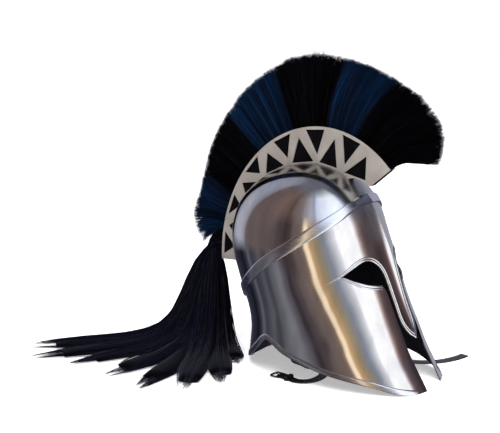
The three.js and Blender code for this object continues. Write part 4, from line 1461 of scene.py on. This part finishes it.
class HelmetSettings(bpy.types.PropertyGroup):
    helmet: a_group(HelmetSizes, "Helmet", "Shell sizes")
    hair: a_group(HairSizes, "Hair", "Plume sizes")
    straps: a_group(StrapSizes, "Straps", "Strap sizes")
    stage: a_group(StageSizes, "Stage", "Stage sizes")
    finishes: a_group(HelmetFinishes, "Finishes", "Colours of the materials")


# Steps of the work

class HELMET_OT_stage(bpy.types.Operator):
    """Set up the camera, the floor, the room that the steel mirrors and the lamps"""

    bl_idname = "helmet.stage"
    bl_label = "Stage"

    def execute(self, context):
        sizes = context.scene.corinthian_helmet.stage
        make_camera(sizes.lens)
        make_room_light(sizes.room)
        make_floor(sizes.floor_reach, sizes.floor_colour, sizes.floor_glow)
        make_soft_sun("window_light", *WINDOW, sizes.key)
        make_soft_sun("ceiling_light", *CEILING, sizes.fill)
        context.scene.view_settings.view_transform = "Standard"
        return {"FINISHED"}


class HELMET_OT_straps(bpy.types.Operator):
    """Make the chin strap's two halves with the buckle, the keeper and the rivets"""

    bl_idname = "helmet.straps"
    bl_label = "Chin strap"

    def execute(self, context):
        settings = context.scene.corinthian_helmet
        straps, finishes = settings.straps, settings.finishes
        leather = finish_of(black_bridle_leather, finishes)
        steel = finish_of(buffed_steel_edge, finishes)
        sizes = (straps.width, straps.thickness)
        right, right_line = make_strap(
            "strap_right_leather", "chin_strap_right", RIGHT_STRAP, 120, *sizes, leather,
        )
        left, left_line = make_strap(
            "strap_left_leather", "chin_strap_left", LEFT_STRAP, 110, *sizes, leather,
        )
        fold, _ = make_strap(
            "fold_leather", "strap_fold_right", FOLD_ROUTE, 48, straps.width * FOLD_WIDTH,
            FOLD_THICKNESS * straps.thickness, leather,
        )
        buckle = make_buckle(finish_of(black_japanned_iron, finishes))
        keeper = make_keeper(straps, leather)
        make_rivet(-1, "rivet_right", "strap_rivet_right", steel)
        make_rivet(1, "rivet_left", "strap_rivet_left", steel)
        return {"FINISHED"}


class HELMET_OT_shell(bpy.types.Operator):
    """Raise the steel shell and roll its rims and border"""

    bl_idname = "helmet.shell"
    bl_label = "Shell and rims"

    def execute(self, context):
        settings = context.scene.corinthian_helmet
        make_shell(settings.helmet, settings.finishes)
        make_rims(settings.finishes)
        return {"FINISHED"}


class HELMET_OT_brow_band(bpy.types.Operator):
    """Bend the brow band round the shell"""

    bl_idname = "helmet.brow_band"
    bl_label = "Brow band"

    def execute(self, context):
        settings = context.scene.corinthian_helmet
        make_band(settings.helmet, settings.finishes)
        return {"FINISHED"}


class HELMET_OT_crest(bpy.types.Operator):
    """Fit the crest holder's pierced plates and core"""

    bl_idname = "helmet.crest"
    bl_label = "Crest holder"

    def execute(self, context):
        finishes = context.scene.corinthian_helmet.finishes
        steel = finish_of(satin_plate_steel, finishes)
        for side in ("right", "left"):
            eased_copy(f"crest_plate_{side}", f"pierced_plate_{side}", steel)
        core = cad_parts["crest_core"]
        core.data.materials.clear()
        core.data.materials.append(finish_of(black_stained_beech, finishes))
        return {"FINISHED"}


class HELMET_OT_brush(bpy.types.Operator):
    """Plant the bands of the brush crest"""

    bl_idname = "helmet.brush"
    bl_label = "Brush"

    def execute(self, context):
        settings = context.scene.corinthian_helmet
        hair, finishes = settings.hair, settings.finishes
        dyes = {"black": black_horsehair, "blue": blue_horsehair}
        for i, (name, first, last, dye) in enumerate(BRUSH_BANDS):
            random = np.random.default_rng(hair.seed + i)
            finish = finish_of(dyes[dye], finishes)
            make_brush_band(name, first, last, dye, hair, finish, random)
        return {"FINISHED"}


class HELMET_OT_tail(bpy.types.Operator):
    """Lay out the tail of loose hair"""

    bl_idname = "helmet.tail"
    bl_label = "Tail"

    def execute(self, context):
        settings = context.scene.corinthian_helmet
        finish = finish_of(tail_horsehair, settings.finishes)
        random = np.random.default_rng(settings.hair.seed + TAIL_SEED_STEP)
        make_tail(settings.hair, finish, random)
        return {"FINISHED"}


class HELMET_PT_parts(bpy.types.Panel):
    """Sizes, finishes and steps of the helmet"""

    bl_label = "Corinthian Helmet"
    bl_idname = "HELMET_PT_parts"
    bl_space_type = "VIEW_3D"
    bl_region_type = "UI"
    bl_category = "Helmet"

    def draw(self, context):
        settings = context.scene.corinthian_helmet
        for group in ("stage", "straps", "helmet", "hair", "finishes"):
            box = self.layout.box()
            values = getattr(settings, group)
            for name in values.__annotations__:
                box.prop(values, name)
        for step in STEPS:
            self.layout.operator(step.bl_idname)


STEPS = (
    HELMET_OT_stage,
    HELMET_OT_straps,
    HELMET_OT_shell,
    HELMET_OT_brow_band,
    HELMET_OT_crest,
    HELMET_OT_brush,
    HELMET_OT_tail,
)
CLASSES = (
    HelmetSizes,
    HairSizes,
    StrapSizes,
    StageSizes,
    HelmetFinishes,
    HelmetSettings,
    *STEPS,
    HELMET_PT_parts,
)


def register():
    for kind in CLASSES:
        bpy.utils.register_class(kind)
    bpy.types.Scene.corinthian_helmet = a_group(
        HelmetSettings, "Corinthian helmet", "Sizes and finishes",
    )


def unregister():
    del bpy.types.Scene.corinthian_helmet
    for kind in reversed(CLASSES):
        bpy.utils.unregister_class(kind)


def main():
    register()
    bpy.ops.helmet.stage()
    bpy.ops.helmet.straps()
    bpy.ops.helmet.shell()
    bpy.ops.helmet.brow_band()
    bpy.ops.helmet.crest()
    bpy.ops.helmet.brush()
    bpy.ops.helmet.tail()


if __name__ == "__main__":
    main()
